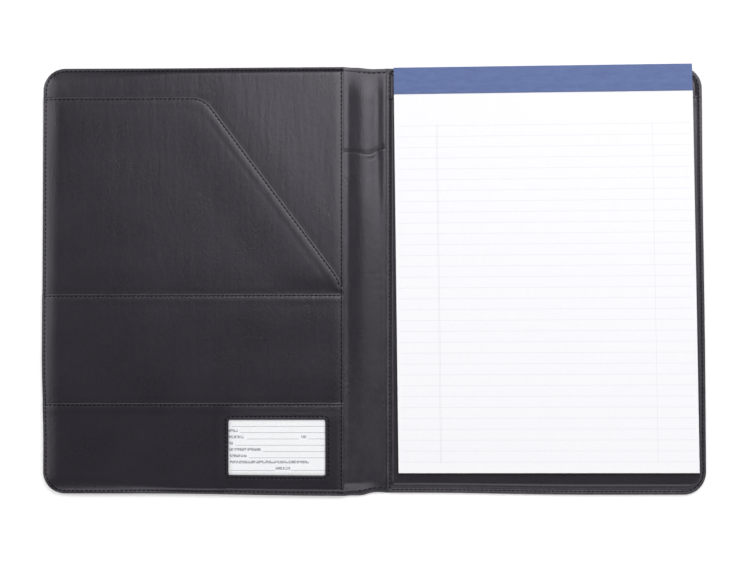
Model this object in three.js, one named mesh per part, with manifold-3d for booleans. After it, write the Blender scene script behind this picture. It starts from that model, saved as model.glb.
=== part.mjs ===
// A zip-free leather writing portfolio, lying open on a table.
// The front cover lies on the left with its pockets, the back cover on the right with a ruled pad.
// Millimetres. +X runs from the pockets to the pad, +Y to the head of the covers, +Z up.
// The origin is the middle of the spine, on the table.
import * as THREE from "three";
import { mergeVertices } from "three/addons/utils/BufferGeometryUtils.js";
import Module from "manifold-3d";

const wasm = await Module();
wasm.setup();

// The pad, which sets the size of the covers
const padWidth = 215.9;
const padLength = 294;
const padTurnDegrees = 0.6; // it sits a little crooked in its pocket
const paperThickness = 5;
const backingThickness = 0.7;
const bindingDepth = 19.4;
const bindingThickness = 0.3;
const glueGap = 0.05;

// Room round the pad
const padSideRoom = 1.15;
const padTailRoom = 14.3;
const padHeadOverhang = 0.3;

// Leather, boards and the slack between plies
const outerLeather = 1.2;
const innerLeather = 0.8;
const boardThickness = 2;
const plySlack = 0.2;
const hemThickness = 0.35;
const hemWidth = 6;

// Covers and spine
const spineWidth = 20;
const foldGap = 0.3;
const cornerRadius = 16;
const innerCornerRadius = 4;
const backPanelSetback = 0.5;
const frontPanelSetback = 10.4;
const seamOverlap = 3;
const waistCentre = -5;
const waistHalfLength = 15.2;
const waistDepth = 1.6;

// The sewn rim of each cover and the slope from it up to the board
const backRim = 2.7;
const backSlope = 1.7;
const frontRim = 3.2;
const frontSlope = 4;

// Mouths of the pockets, from the tail or the head of the cover
const padMouthFromHead = 22;
const documentMouthFromHead = 21.5;
const documentCornerFromFold = 112;
const documentEndFromTail = 152.2;
const mouthBend = 9;
const middleMouthFromTail = 145;
const lowerMouthFromTail = 66;

// Window pocket
const windowWidth = 70.6;
const windowHeight = 39.2;
const windowFromFold = 24.2;
const windowFromTail = 14.4;
const windowRadius = 2.4;
const windowFrameWidth = 3.4;
const seamFromFold = 106.4; // the seam that parts the window pocket from the pocket beside it
const seamGrooveWidth = 1.2;
const seamGrooveDepth = 0.3;
const filmThickness = 0.3;
const filmOverlap = 5;
const cardThickness = 0.4;
const cardOverlap = 4;

// Pen pocket on the spine
const penMouthFromHead = 61;
const penMouthDip = 2.4;
const penMouthRise = 1.6;
const penBumpHeight = 4.35;
const penBumpLeft = -9.3;
const penBumpRight = 7.2;
const penBumpCentre = -1.2;
const penBumpFullness = 3;
const penTailTaper = 22;
const penTailSeam = 3;

// Smoothness of the curved forms
const cornerSteps = 6;
const slopeSteps = 4;
const bendSteps = 6;
const bumpSteps = 22;
const taperSteps = 8;

// Worked out from the values above
const padTurn = THREE.MathUtils.degToRad(padTurnDegrees);
const turnedWidth = padWidth * Math.cos(padTurn) + padLength * Math.sin(padTurn);
const turnedLength = padLength * Math.cos(padTurn) + padWidth * Math.sin(padTurn);
const foldX = spineWidth / 2;
const backRimReach = backRim + backSlope;
const coverReach = backPanelSetback + 2 * (backRimReach + padSideRoom) + turnedWidth;
const foreEdge = foldX + coverReach;
const coverHeight = turnedLength + padTailRoom - padHeadOverhang;
const head = coverHeight / 2;
const tail = -head;

const liningRimZ = outerLeather + plySlack;
const boardTopZ = outerLeather + boardThickness;
const liningZ = boardTopZ + plySlack;
const liningRise = liningZ - liningRimZ;
const plyStep = innerLeather + plySlack;

const backPanel = {
  left: foldX + backPanelSetback,
  right: foreEdge,
  leftRadius: innerCornerRadius,
  rightRadius: cornerRadius,
  rim: backRim,
  slope: backSlope,
};
const frontPanelEdge = -(foldX + frontPanelSetback);
const frontPanel = {
  left: -foreEdge,
  right: frontPanelEdge + 30,
  leftRadius: cornerRadius,
  rightRadius: innerCornerRadius,
  rim: frontRim,
  slope: frontSlope,
};
const farAway = 2 * foreEdge;

const leather = new THREE.MeshStandardMaterial({ color: "#2b292e", roughness: 0.55, metalness: 0 });
const liningLeather = new THREE.MeshStandardMaterial({ color: "#3a383d", roughness: 0.6, metalness: 0 });
const board = new THREE.MeshStandardMaterial({ color: "#8b7a62", roughness: 0.9, metalness: 0 });
const paper = new THREE.MeshStandardMaterial({ color: "#f6f5f8", roughness: 0.85, metalness: 0 });
const blueTape = new THREE.MeshStandardMaterial({ color: "#6e7fae", roughness: 0.7, metalness: 0 });
const clearFilm = new THREE.MeshStandardMaterial({
  color: "#eef1f4",
  roughness: 0.1,
  metalness: 0,
  transparent: true,
  opacity: 0.35,
});

// Turns a closed geometry into a solid that can be joined and cut.
function solidOf(geometry) {
  const bare = geometry.clone();
  bare.deleteAttribute("normal");
  bare.deleteAttribute("uv");
  const merged = mergeVertices(bare, 1e-4);
  return new wasm.Manifold(
    new wasm.Mesh({
      numProp: 3,
      vertProperties: new Float32Array(merged.attributes.position.array),
      triVerts: new Uint32Array(merged.index.array),
    }),
  );
}

function geometryOf(solid) {
  const mesh = solid.getMesh();
  const geometry = new THREE.BufferGeometry();
  geometry.setAttribute("position", new THREE.BufferAttribute(mesh.vertProperties, 3));
  geometry.setIndex(new THREE.BufferAttribute(mesh.triVerts, 1));
  const faceted = geometry.toNonIndexed();
  faceted.computeVertexNormals();
  return faceted;
}

function piece(name, geometry, material) {
  const mesh = new THREE.Mesh(geometry, material);
  mesh.name = name;
  return mesh;
}

function smooth(share) {
  const t = THREE.MathUtils.clamp(share, 0, 1);
  return t * t * (3 - 2 * t);
}

// A flat plate of the given outline, between two heights.
function plate(shape, lowZ, highZ) {
  const geometry = new THREE.ExtrudeGeometry(shape, {
    depth: highZ - lowZ,
    bevelEnabled: false,
    curveSegments: cornerSteps,
  });
  return geometry.translate(0, 0, lowZ);
}

// One ring of points round a cover panel, a given distance inside its edge.
function panelRing(panel, inset, z) {
  const corners = [
    { x: panel.left, y: tail, inX: 1, inY: 1, radius: panel.leftRadius, start: Math.PI },
    { x: panel.right, y: tail, inX: -1, inY: 1, radius: panel.rightRadius, start: 1.5 * Math.PI },
    { x: panel.right, y: head, inX: -1, inY: -1, radius: panel.rightRadius, start: 0 },
    { x: panel.left, y: head, inX: 1, inY: -1, radius: panel.leftRadius, start: 0.5 * Math.PI },
  ];
  const ring = [];
  for (const corner of corners) {
    const bend = Math.max(corner.radius - inset, 0.3);
    const centreX = corner.x + corner.inX * (inset + bend);
    const centreY = corner.y + corner.inY * (inset + bend);
    for (let i = 0; i <= cornerSteps; i++) {
      const angle = corner.start + (i / cornerSteps) * (Math.PI / 2);
      ring.push(new THREE.Vector3(centreX + bend * Math.cos(angle), centreY + bend * Math.sin(angle), z));
    }
  }
  return ring;
}

// Skins a row of rings that run anticlockwise seen from above, and closes the first and last.
function loft(rings) {
  const count = rings[0].length;
  const positions = [];
  const faces = [];
  for (const ring of rings) {
    for (const point of ring) positions.push(point.x, point.y, point.z);
  }
  for (let r = 0; r + 1 < rings.length; r++) {
    for (let i = 0; i < count; i++) {
      const next = (i + 1) % count;
      const low = r * count;
      const high = low + count;
      faces.push(low + i, low + next, high + next);
      faces.push(low + i, high + next, high + i);
    }
  }
  const last = (rings.length - 1) * count;
  for (let i = 1; i + 1 < count; i++) {
    faces.push(0, i + 1, i);
    faces.push(last, last + i, last + i + 1);
  }
  const geometry = new THREE.BufferGeometry();
  geometry.setAttribute("position", new THREE.Float32BufferAttribute(positions, 3));
  geometry.setIndex(faces);
  return geometry;
}

// A sheet of leather sewn down round its rim that rises over what lies under it.
function drapedSheet(panel, rimZ, rise, thickness) {
  const insets = [0, panel.rim];
  for (let i = 1; i <= slopeSteps; i++) {
    insets.push(panel.rim + (panel.slope * i) / slopeSteps);
  }
  const heightAt = (inset) => rimZ + rise * smooth((inset - panel.rim) / panel.slope);
  const under = insets.map((inset) => panelRing(panel, inset, heightAt(inset)));
  const over = insets.map((inset) => panelRing(panel, inset, heightAt(inset) + thickness));
  return solidOf(loft([...under.reverse(), ...over]));
}

// Upright prism that trims a draped sheet to its outline.
function trimmer(shape) {
  return solidOf(plate(shape, -10, 60));
}

function boxShape(left, right, bottom, top) {
  const shape = new THREE.Shape();
  shape.moveTo(left, bottom);
  shape.lineTo(right, bottom);
  shape.lineTo(right, top);
  shape.lineTo(left, top);
  shape.closePath();
  return shape;
}

function roundedShape(centreX, centreY, width, height, radius) {
  const left = centreX - width / 2;
  const right = centreX + width / 2;
  const bottom = centreY - height / 2;
  const top = centreY + height / 2;
  const shape = new THREE.Shape();
  shape.moveTo(left + radius, bottom);
  shape.lineTo(right - radius, bottom);
  shape.absarc(right - radius, bottom + radius, radius, -Math.PI / 2, 0, false);
  shape.lineTo(right, top - radius);
  shape.absarc(right - radius, top - radius, radius, 0, Math.PI / 2, false);
  shape.lineTo(left + radius, top);
  shape.absarc(left + radius, top - radius, radius, Math.PI / 2, Math.PI, false);
  shape.lineTo(left, bottom + radius);
  shape.absarc(left + radius, bottom + radius, radius, Math.PI, 1.5 * Math.PI, false);
  return shape;
}

// Half of the outer leather's height: full on the covers, drawn in at the spine, round at the corners.
function halfHeightAt(x) {
  const fromForeEdge = foreEdge - Math.abs(x);
  if (fromForeEdge < cornerRadius) {
    const across = cornerRadius - fromForeEdge;
    return head - cornerRadius + Math.sqrt(Math.max(0, cornerRadius ** 2 - across ** 2));
  }
  const fromWaist = (x - waistCentre) / waistHalfLength;
  return head - waistDepth * Math.max(0, 1 - fromWaist ** 2);
}

// The stretch of the outer leather's outline between two upright cuts.
function leatherShape(left, right, edgeInset = 0) {
  const stations = new Set([left, right]);
  for (let i = 0; i <= 2 * cornerSteps; i++) {
    const across = cornerRadius * (1 - Math.cos((i / (2 * cornerSteps)) * (Math.PI / 2)));
    stations.add(-foreEdge + across);
    stations.add(foreEdge - across);
    stations.add(waistCentre + waistHalfLength * (i / cornerSteps - 1));
  }
  const inRange = [...stations].filter((x) => x >= left && x <= right).sort((a, b) => a - b);
  const points = inRange.map((x) => new THREE.Vector2(x, -halfHeightAt(x) + edgeInset));
  for (const x of inRange.reverse()) points.push(new THREE.Vector2(x, halfHeightAt(x) - edgeInset));
  return new THREE.Shape(points);
}

// Pocket panel: a draped sheet trimmed to its outline, thicker along the turned hem of its mouth.
// The hem stops where the next pocket covers it.
function pocketPanel(panel, rimZ, rise, outlineAt, hemEndY) {
  const sheet = drapedSheet(panel, rimZ, rise, innerLeather).intersect(trimmer(outlineAt(0)));
  const thick = drapedSheet(panel, rimZ, rise, innerLeather + hemThickness);
  const hem = thick.intersect(trimmer(outlineAt(0))).subtract(trimmer(outlineAt(hemWidth)));
  const shown = trimmer(boxShape(-farAway, farAway, hemEndY, head + 10));
  return sheet.add(hem.intersect(shown));
}

function straightMouth(mouthY) {
  return (inset) => boxShape(-farAway, farAway, tail - 10, mouthY - inset);
}

// The document pocket: level at the head, then slanting down to the spine.
function documentOutline(inset) {
  const corner = new THREE.Vector2(-(foldX + documentCornerFromFold), head - documentMouthFromHead);
  const end = new THREE.Vector2(frontPanelEdge, tail + documentEndFromTail);
  const slant = end.clone().sub(corner).normalize();
  const inward = new THREE.Vector2(slant.y, -slant.x);
  const turn = Math.abs(slant.y) / (1 + slant.x);
  const insetCorner = new THREE.Vector2(corner.x - inset * turn, corner.y - inset);
  const insetEnd = end.clone().addScaledVector(inward, inset);
  const bendStart = new THREE.Vector2(insetCorner.x - mouthBend, insetCorner.y);
  const bendEnd = insetCorner.clone().addScaledVector(slant, mouthBend);
  const beyond = insetEnd.clone().addScaledVector(slant, 40);
  const shape = new THREE.Shape();
  shape.moveTo(-farAway, tail - 10);
  shape.lineTo(beyond.x, tail - 10);
  shape.lineTo(beyond.x, beyond.y);
  shape.lineTo(bendEnd.x, bendEnd.y);
  shape.quadraticCurveTo(insetCorner.x, insetCorner.y, bendStart.x, bendStart.y);
  shape.lineTo(-farAway, insetCorner.y);
  shape.closePath();
  return shape;
}

function boardFor(panel, left, right, leftRadius, rightRadius) {
  const inset = panel.rim + panel.slope;
  const shape = new THREE.Shape();
  const bottom = tail + inset;
  const top = head - inset;
  shape.moveTo(left + leftRadius, bottom);
  shape.lineTo(right - rightRadius, bottom);
  shape.absarc(right - rightRadius, bottom + rightRadius, rightRadius, -Math.PI / 2, 0, false);
  shape.absarc(right - rightRadius, top - rightRadius, rightRadius, 0, Math.PI / 2, false);
  shape.absarc(left + leftRadius, top - leftRadius, leftRadius, Math.PI / 2, Math.PI, false);
  shape.absarc(left + leftRadius, bottom + leftRadius, leftRadius, Math.PI, 1.5 * Math.PI, false);
  return plate(shape, outerLeather, boardTopZ);
}

// A ply of the gutter beside the front cover, with a tongue that is sewn in under the panel's edge.
function gutterFlap(foldCut, lowZ) {
  const open = plate(leatherShape(frontPanelEdge + foldGap, foldCut, plySlack), lowZ, lowZ + innerLeather);
  const tongueEnd = head - frontPanel.rim - frontPanel.slope;
  const tongueLeft = frontPanelEdge - seamOverlap;
  const tongue = boxShape(tongueLeft, frontPanelEdge + 2 * foldGap, -tongueEnd, tongueEnd);
  return solidOf(open).add(solidOf(plate(tongue, lowZ, lowZ + innerLeather)));
}

// Front cover: outer leather, board, lining and three pockets, the lowest with a window.
function makeFrontCover() {
  const cover = new THREE.Group();
  const foldCut = -(foldX + foldGap / 2);
  cover.add(piece("front_leather", plate(leatherShape(-foreEdge, foldCut), 0, outerLeather), leather));

  const boardInset = frontPanel.rim + frontPanel.slope;
  const boardRight = frontPanelEdge - seamOverlap - plySlack;
  const boardRadius = cornerRadius - boardInset;
  cover.add(
    piece(
      "front_board",
      boardFor(frontPanel, -foreEdge + boardInset, boardRight - 2, boardRadius, 1),
      board,
    ),
  );

  const panelCut = trimmer(boxShape(-farAway, frontPanelEdge, tail - 10, head + 10));
  const addSheet = (name, solid, material) => {
    cover.add(piece(name, geometryOf(solid.intersect(panelCut)), material));
  };
  addSheet("front_lining", drapedSheet(frontPanel, liningRimZ, liningRise, innerLeather), liningLeather);

  const documentRimZ = liningRimZ + plyStep;
  const middleMouthY = tail + middleMouthFromTail;
  const documentHemEnd = middleMouthY + plySlack;
  const documentPanel = pocketPanel(frontPanel, documentRimZ, liningRise, documentOutline, documentHemEnd);
  addSheet("document_pocket", documentPanel, leather);

  const middleRimZ = documentRimZ + plyStep;
  const middlePanel = pocketPanel(frontPanel, middleRimZ, liningRise, straightMouth(middleMouthY), tail);
  addSheet("middle_pocket", middlePanel, leather);

  const windowX = -(foldX + windowFromFold + windowWidth / 2);
  const windowY = tail + windowFromTail + windowHeight / 2;
  const cardZ = middleRimZ + liningRise + plyStep;
  const filmZ = cardZ + cardThickness + plySlack;
  const lowerZ = filmZ + filmThickness + plySlack;
  const cardShape = roundedShape(
    windowX,
    windowY,
    windowWidth + 2 * cardOverlap,
    windowHeight + 2 * cardOverlap,
    windowRadius,
  );
  const filmShape = roundedShape(
    windowX,
    windowY,
    windowWidth + 2 * filmOverlap,
    windowHeight + 2 * filmOverlap,
    windowRadius,
  );
  cover.add(piece("id_card", plate(cardShape, cardZ, cardZ + cardThickness), paper));
  cover.add(piece("window_film", plate(filmShape, filmZ, filmZ + filmThickness), clearFilm));

  const lowerRimZ = middleRimZ + plyStep;
  const lowerMouth = straightMouth(tail + lowerMouthFromTail);
  const windowHole = trimmer(
    roundedShape(windowX, windowY, windowWidth, windowHeight, windowRadius),
  );
  const lowerPanel = pocketPanel(frontPanel, lowerRimZ, lowerZ - lowerRimZ, lowerMouth, tail);
  const frameShape = roundedShape(
    windowX,
    windowY,
    windowWidth + 2 * windowFrameWidth,
    windowHeight + 2 * windowFrameWidth,
    windowRadius + windowFrameWidth,
  );
  const windowFrame = solidOf(plate(frameShape, lowerZ, lowerZ + innerLeather + hemThickness));
  const seamX = -(foldX + seamFromFold);
  const grooveShape = boxShape(seamX - seamGrooveWidth / 2, seamX + seamGrooveWidth / 2, tail - 10, head);
  const groove = solidOf(plate(grooveShape, lowerZ + innerLeather - seamGrooveDepth, lowerZ + 10));
  const lowerWithFrame = lowerPanel.add(windowFrame).subtract(windowHole).subtract(groove);
  addSheet("lower_pocket", lowerWithFrame, leather);

  const lowFlap = gutterFlap(foldCut, liningRimZ);
  cover.add(piece("gutter_lining_front", geometryOf(lowFlap), liningLeather));
  const penFlap = gutterFlap(foldCut, liningRimZ + plyStep);
  const belowMouth = trimmer(boxShape(-farAway, farAway, tail - 10, head - penMouthFromHead));
  cover.add(piece("pen_pocket_front", geometryOf(penFlap.intersect(belowMouth)), leather));
  return cover;
}

// Height of the pen pocket's bump over its flat seams, at a place on the spine.
function penBumpAt(x, y) {
  const half = x < penBumpCentre ? penBumpCentre - penBumpLeft : penBumpRight - penBumpCentre;
  const away = Math.min(1, Math.abs(x - penBumpCentre) / half);
  const across = (1 - away ** penBumpFullness) ** 2;
  const along = smooth((y - tail - penTailSeam) / penTailTaper);
  return penBumpHeight * across * along;
}

// A sheet over a grid of stations, with its underside at the height that a formula gives.
function formedSheet(xs, ys, underAt, thickness) {
  const positions = [];
  for (const layer of [0, thickness]) {
    for (const y of ys) {
      for (const x of xs) positions.push(x, y, underAt(x, y) + layer);
    }
  }
  const wide = xs.length;
  const sheet = wide * ys.length;
  const faces = [];
  for (let row = 0; row + 1 < ys.length; row++) {
    for (let column = 0; column + 1 < wide; column++) {
      const a = row * wide + column;
      const b = a + 1;
      const c = b + wide;
      const d = a + wide;
      faces.push(a, c, b, a, d, c);
      faces.push(sheet + a, sheet + b, sheet + c, sheet + a, sheet + c, sheet + d);
    }
  }
  const border = [];
  for (let column = 0; column < wide; column++) border.push(column);
  for (let row = 1; row < ys.length; row++) border.push(row * wide + wide - 1);
  for (let column = wide - 2; column >= 0; column--) border.push((ys.length - 1) * wide + column);
  for (let row = ys.length - 2; row >= 1; row--) border.push(row * wide);
  border.forEach((from, i) => {
    const to = border[(i + 1) % border.length];
    faces.push(from, to, sheet + to, from, sheet + to, sheet + from);
  });
  const geometry = new THREE.BufferGeometry();
  geometry.setAttribute("position", new THREE.Float32BufferAttribute(positions, 3));
  geometry.setIndex(faces);
  return geometry;
}

function stationsBetween(from, to, steps) {
  return Array.from({ length: steps + 1 }, (_, i) => from + ((to - from) * i) / steps);
}

// Spine: outer leather, gutter lining and the pen pocket, which stands open at its mouth.
function makeSpine() {
  const spine = new THREE.Group();
  const left = -(foldX - foldGap / 2);
  const right = foldX - foldGap / 2;
  spine.add(piece("spine_leather", plate(leatherShape(left, right), 0, outerLeather), leather));
  const liningShape = leatherShape(left, right, plySlack);
  spine.add(piece("gutter_lining", plate(liningShape, liningRimZ, liningRimZ + innerLeather), liningLeather));

  const pocketZ = liningRimZ + plyStep;
  const taperEnd = tail + penTailSeam + penTailTaper;
  const mouthY = head - penMouthFromHead;
  const xs = stationsBetween(left, right, bumpSteps);
  const ys = [
    ...stationsBetween(tail - 5, tail + penTailSeam, 1),
    ...stationsBetween(tail + penTailSeam, taperEnd, taperSteps).slice(1),
    mouthY + 10,
  ];
  const sheet = solidOf(formedSheet(xs, ys, (x, y) => pocketZ + penBumpAt(x, y), innerLeather));
  const outline = leatherShape(left, right, plySlack);
  const mouth = new THREE.Shape();
  mouth.moveTo(-farAway, tail - 20);
  mouth.lineTo(farAway, tail - 20);
  mouth.lineTo(farAway, mouthY + penMouthRise);
  mouth.lineTo(penBumpRight, mouthY + penMouthRise);
  mouth.quadraticCurveTo(penBumpCentre, mouthY - penMouthDip, left, mouthY);
  mouth.lineTo(-farAway, mouthY);
  mouth.closePath();
  const pocket = sheet.intersect(trimmer(outline)).intersect(trimmer(mouth));
  spine.add(piece("pen_pocket", geometryOf(pocket), leather));
  return spine;
}

// Extrudes an outline drawn in the upright lengthwise plane across the pad's width.
function acrossPad(shape, width) {
  const geometry = new THREE.ExtrudeGeometry(shape, { depth: width, bevelEnabled: false });
  const toPad = new THREE.Matrix4().makeBasis(
    new THREE.Vector3(0, 1, 0),
    new THREE.Vector3(0, 0, 1),
    new THREE.Vector3(1, 0, 0),
  );
  return geometry.applyMatrix4(toPad).translate(-width / 2, 0, 0);
}

// The pad: its backing board is in the pocket, its sheets lie over the pocket and bend down past the mouth.
function makePad(backingZ, pocketTopZ) {
  const pad = new THREE.Group();
  const top = padLength / 2;
  const bottom = -top;
  const centreY = tail + padTailRoom + turnedLength / 2;
  const backingTop = backingZ + backingThickness;
  const sheetsOnPocket = pocketTopZ + plySlack;
  const sheetsOnBacking = backingTop + glueGap;
  const bendStart = head - padMouthFromHead - centreY + (padWidth / 2) * Math.sin(padTurn) + 0.6;
  const bendEnd = top - (bindingDepth - 8);
  const undersideAt = (y) => {
    const share = smooth((y - bendStart) / (bendEnd - bendStart));
    return THREE.MathUtils.lerp(sheetsOnPocket, sheetsOnBacking, share);
  };
  const bend = stationsBetween(bendStart, bendEnd, bendSteps);

  const backingShape = boxShape(-padWidth / 2, padWidth / 2, bottom, top);
  pad.add(piece("pad_backing", plate(backingShape, backingZ, backingTop), board));

  const sheetsProfile = [bottom, ...bend, top];
  const lower = sheetsProfile.map((y) => new THREE.Vector2(y, undersideAt(y)));
  const upper = sheetsProfile.map((y) => new THREE.Vector2(y, undersideAt(y) + paperThickness));
  const sheets = new THREE.Shape([...lower, ...upper.reverse()]);
  pad.add(piece("pad_sheets", acrossPad(sheets, padWidth), paper));

  const bindingEdge = top - bindingDepth;
  const outerEnd = top + glueGap + bindingThickness;
  const frontLeg = [bindingEdge, ...bend.filter((y) => y > bindingEdge), top + glueGap];
  const legUnder = frontLeg.map((y) => new THREE.Vector2(y, undersideAt(y) + paperThickness + glueGap));
  const legOver = legUnder.map((point) => new THREE.Vector2(point.x, point.y + bindingThickness));
  const backLegTop = backingZ - glueGap;
  const tape = new THREE.Shape([
    ...legUnder,
    new THREE.Vector2(top + glueGap, backLegTop),
    new THREE.Vector2(bindingEdge, backLegTop),
    new THREE.Vector2(bindingEdge, backLegTop - bindingThickness),
    new THREE.Vector2(outerEnd, backLegTop - bindingThickness),
    new THREE.Vector2(outerEnd, legOver.at(-1).y),
    ...legOver.reverse().slice(1),
  ]);
  pad.add(piece("pad_binding", acrossPad(tape, padWidth), blueTape));

  pad.position.set(backPanel.left + backRimReach + padSideRoom + turnedWidth / 2, centreY, 0);
  pad.rotation.z = padTurn;
  return pad;
}

// Back cover: outer leather, board, lining and the wide pocket that holds the pad.
function makeBackCover() {
  const cover = new THREE.Group();
  const foldCut = foldX + foldGap / 2;
  cover.add(piece("back_leather", plate(leatherShape(foldCut, foreEdge), 0, outerLeather), leather));
  const boardRadius = cornerRadius - backRimReach;
  cover.add(
    piece(
      "back_board",
      boardFor(backPanel, backPanel.left + backRimReach, foreEdge - backRimReach, 1, boardRadius),
      board,
    ),
  );
  const lining = drapedSheet(backPanel, liningRimZ, liningRise, innerLeather);
  cover.add(piece("back_lining", geometryOf(lining), liningLeather));

  const pocketRimZ = liningRimZ + plyStep;
  const backLegSpace = bindingThickness + 2 * glueGap;
  const backingZ = liningZ + innerLeather + plySlack + backLegSpace;
  const pocketZ = backingZ + backingThickness + plySlack;
  const mouth = straightMouth(head - padMouthFromHead);
  const pocket = pocketPanel(backPanel, pocketRimZ, pocketZ - pocketRimZ, mouth, tail);
  cover.add(piece("pad_pocket", geometryOf(pocket), leather));
  cover.add(makePad(backingZ, pocketZ + innerLeather + hemThickness));
  return cover;
}

const portfolio = new THREE.Group();
portfolio.add(makeFrontCover(), makeSpine(), makeBackCover());

export default portfolio;
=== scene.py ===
"""The looks of a leather writing portfolio that lies open on a pale floor.

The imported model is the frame. Sizes here are in millimetres, in the frame's axes: +X runs from the
pockets to the pad, +Y to the head of the covers, +Z up. A mesh is scaled to metres as it is made.
"""

from math import cos, pi, radians, sin

import bpy
import numpy as np
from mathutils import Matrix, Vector, noise


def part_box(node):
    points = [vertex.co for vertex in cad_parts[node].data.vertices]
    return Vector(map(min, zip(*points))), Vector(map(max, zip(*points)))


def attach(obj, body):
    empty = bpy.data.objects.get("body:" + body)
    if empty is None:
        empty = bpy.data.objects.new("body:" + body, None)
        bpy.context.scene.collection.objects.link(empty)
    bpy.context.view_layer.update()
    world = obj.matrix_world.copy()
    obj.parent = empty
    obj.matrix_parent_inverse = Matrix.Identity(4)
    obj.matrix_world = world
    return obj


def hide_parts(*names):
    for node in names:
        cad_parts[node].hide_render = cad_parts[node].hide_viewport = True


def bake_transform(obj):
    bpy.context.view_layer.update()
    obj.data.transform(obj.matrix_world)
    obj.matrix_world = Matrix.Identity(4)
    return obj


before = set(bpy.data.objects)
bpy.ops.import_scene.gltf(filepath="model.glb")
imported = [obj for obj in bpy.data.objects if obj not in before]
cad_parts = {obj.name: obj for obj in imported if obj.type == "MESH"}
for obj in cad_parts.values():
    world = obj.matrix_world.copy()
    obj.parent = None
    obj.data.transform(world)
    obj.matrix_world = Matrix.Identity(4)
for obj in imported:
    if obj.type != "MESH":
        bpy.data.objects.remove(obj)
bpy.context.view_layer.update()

MM = 0.001


def box_of(node):
    """Lowest and highest corner of a CAD node, in millimetres."""
    low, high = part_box(node)
    return low / MM, high / MM


# Places read from the frame
FORE_EDGE = box_of("back_leather")[1].x
HEAD = box_of("back_leather")[1].y
TAIL = -HEAD
FRONT_EDGE = box_of("front_lining")[1].x
BACK_EDGE = box_of("back_lining")[0].x
BOARD_EDGE = box_of("back_board")[1].x
SKIN_TOP = box_of("front_leather")[1].z
MIDDLE_MOUTH = box_of("middle_pocket")[1].y
LOWER_MOUTH = box_of("lower_pocket")[1].y
PAD_MOUTH = box_of("pad_pocket")[1].y
DOCUMENT_MOUTH = box_of("document_pocket")[1].y
FOLD = (box_of("front_leather")[1].x + box_of("spine_leather")[0].x) / 2

# Leather plies
PLY = 0.8
PLY_STEP = 1.0
HEM = 0.35
RIM_TOP = box_of("front_lining")[0].z + PLY
INNER_TOP = box_of("front_lining")[1].z
PAD_POCKET_TOP = box_of("pad_pocket")[1].z - HEM
EDGE_ROLL = 0.6
EDGE_FLAT = 0.1
PANEL_INSET = 0.3
FAR = 1000.0
CORNER = 16.0
SPINE_SIDE_CORNER = 4.0

# Mouth of the document pocket: level, then slanting down to the spine
SLANT_CORNER_X = FOLD - 112.0
SLANT_END_Y = TAIL + 152.2
SLANT_ROUNDING = 7.2

# Sewing
STITCH_INSET = 2.2
MOUTH_STITCH_INSET = 1.8
PITCH = 3.2
STITCH_LENGTH = 2.3
STITCH_WIDTH = 0.78
STITCH_HEIGHT = 0.42
STITCH_SLANT = radians(7)
STITCH_UNEVENNESS = radians(3)
STITCH_LIFT = 0.08
GROOVE_DEPTH = 0.13
GROOVE_HALF_WIDTH = 0.6
SPINE_SEAM_INSET = 1.8

# How much lighter the leather is painted at its turned rim and its mouth (wear with a painted highlight),
# beside the back cover's seam (painted highlight) and at the front corner (painted sheen)
RIM_WEAR_AND_SHEEN = 0.7
MOUTH_WEAR_AND_HIGHLIGHT = 0.75
BACK_RIM_HIGHLIGHT = 0.5
CORNER_SHEEN = 0.4

# How the plies give way under the mouth of the next, sag, and swell below their own mouths
PRESSED_DEPTH = 0.24
DIP_DEPTH = 0.2
DIP_WIDTH = 20.0
SAG = 0.17
DOCUMENT_PUFF = 0.45
MIDDLE_PUFF = 0.35

# Window in the lower pocket
WINDOW_WIDTH = 69.9
WINDOW_HEIGHT = 39.2
WINDOW_RADIUS = 1.2
CORE_X = WINDOW_WIDTH / 2 - WINDOW_RADIUS
CORE_Y = WINDOW_HEIGHT / 2 - WINDOW_RADIUS
WINDOW_STITCH_INSET = 2.2
WINDOW_MARGIN = 8.0
WINDOW_X = (box_of("window_film")[0].x + box_of("window_film")[1].x) / 2 + 0.7
WINDOW_Y = (box_of("window_film")[0].y + box_of("window_film")[1].y) / 2
COMPARTMENT_SEAM = FOLD - 106.4
CARD_RISE = box_of("lower_pocket")[1].z - HEM - INNER_TOP - 3 * PLY_STEP

# Where the pad lies
PAD_WIDTH = 215.9
PAD_TURN = radians(0.6)
PAD_X = (box_of("pad_backing")[0].x + box_of("pad_backing")[1].x) / 2
PAD_Y = (box_of("pad_backing")[0].y + box_of("pad_backing")[1].y) / 2

# Mesh spacing
EDGE_STEPS = (0, 0.08, 0.25, 0.5, 0.8, 1.2, 1.6, 2.0, 2.4, 2.8, 3.3, 4, 5, 6.5, 8.5)
NEAR_EDGE = EDGE_STEPS[:9]
PANEL_STEP = 2.4
CORNER_STEPS = 14


def smooth(share):
    """Eases from 0 to 1."""
    t = np.clip(share, 0, 1)
    return t * t * (3 - 2 * t)


def pillow(share):
    """Rises from 0 to 1, steepest at the start."""
    t = np.clip(share, 0, 1)
    return 1 - (1 - t) ** 2


def hump(distance, half_width):
    """1 at no distance, falling away to nothing."""
    return np.exp(-((distance / half_width) ** 2))


def softer_min(a, b, rounding):
    """The lesser of two values, rounded where they meet."""
    near = np.clip(rounding - np.abs(a - b), 0, None) / rounding
    return np.minimum(a, b) - near * near * rounding / 4


def unevenness(x, y, size_x, size_y, seed):
    """Smooth noise between about -1 and 1 over the plane, the same on every run."""
    flat_x, flat_y = np.ravel(x), np.ravel(y)
    values = [noise.noise(Vector((a / size_x, b / size_y, seed))) for a, b in zip(flat_x, flat_y)]
    return np.array(values).reshape(np.shape(x)) * 1.6


def add_object(name, data):
    """An object in the scene, at the origin."""
    made = bpy.data.objects.new(name, data)
    bpy.context.scene.collection.objects.link(made)
    return made


def feed(tree, socket, value):
    """Links a socket to another, or gives it a value."""
    if isinstance(value, bpy.types.NodeSocket):
        tree.links.new(value, socket)
    else:
        socket.default_value = value


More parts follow.
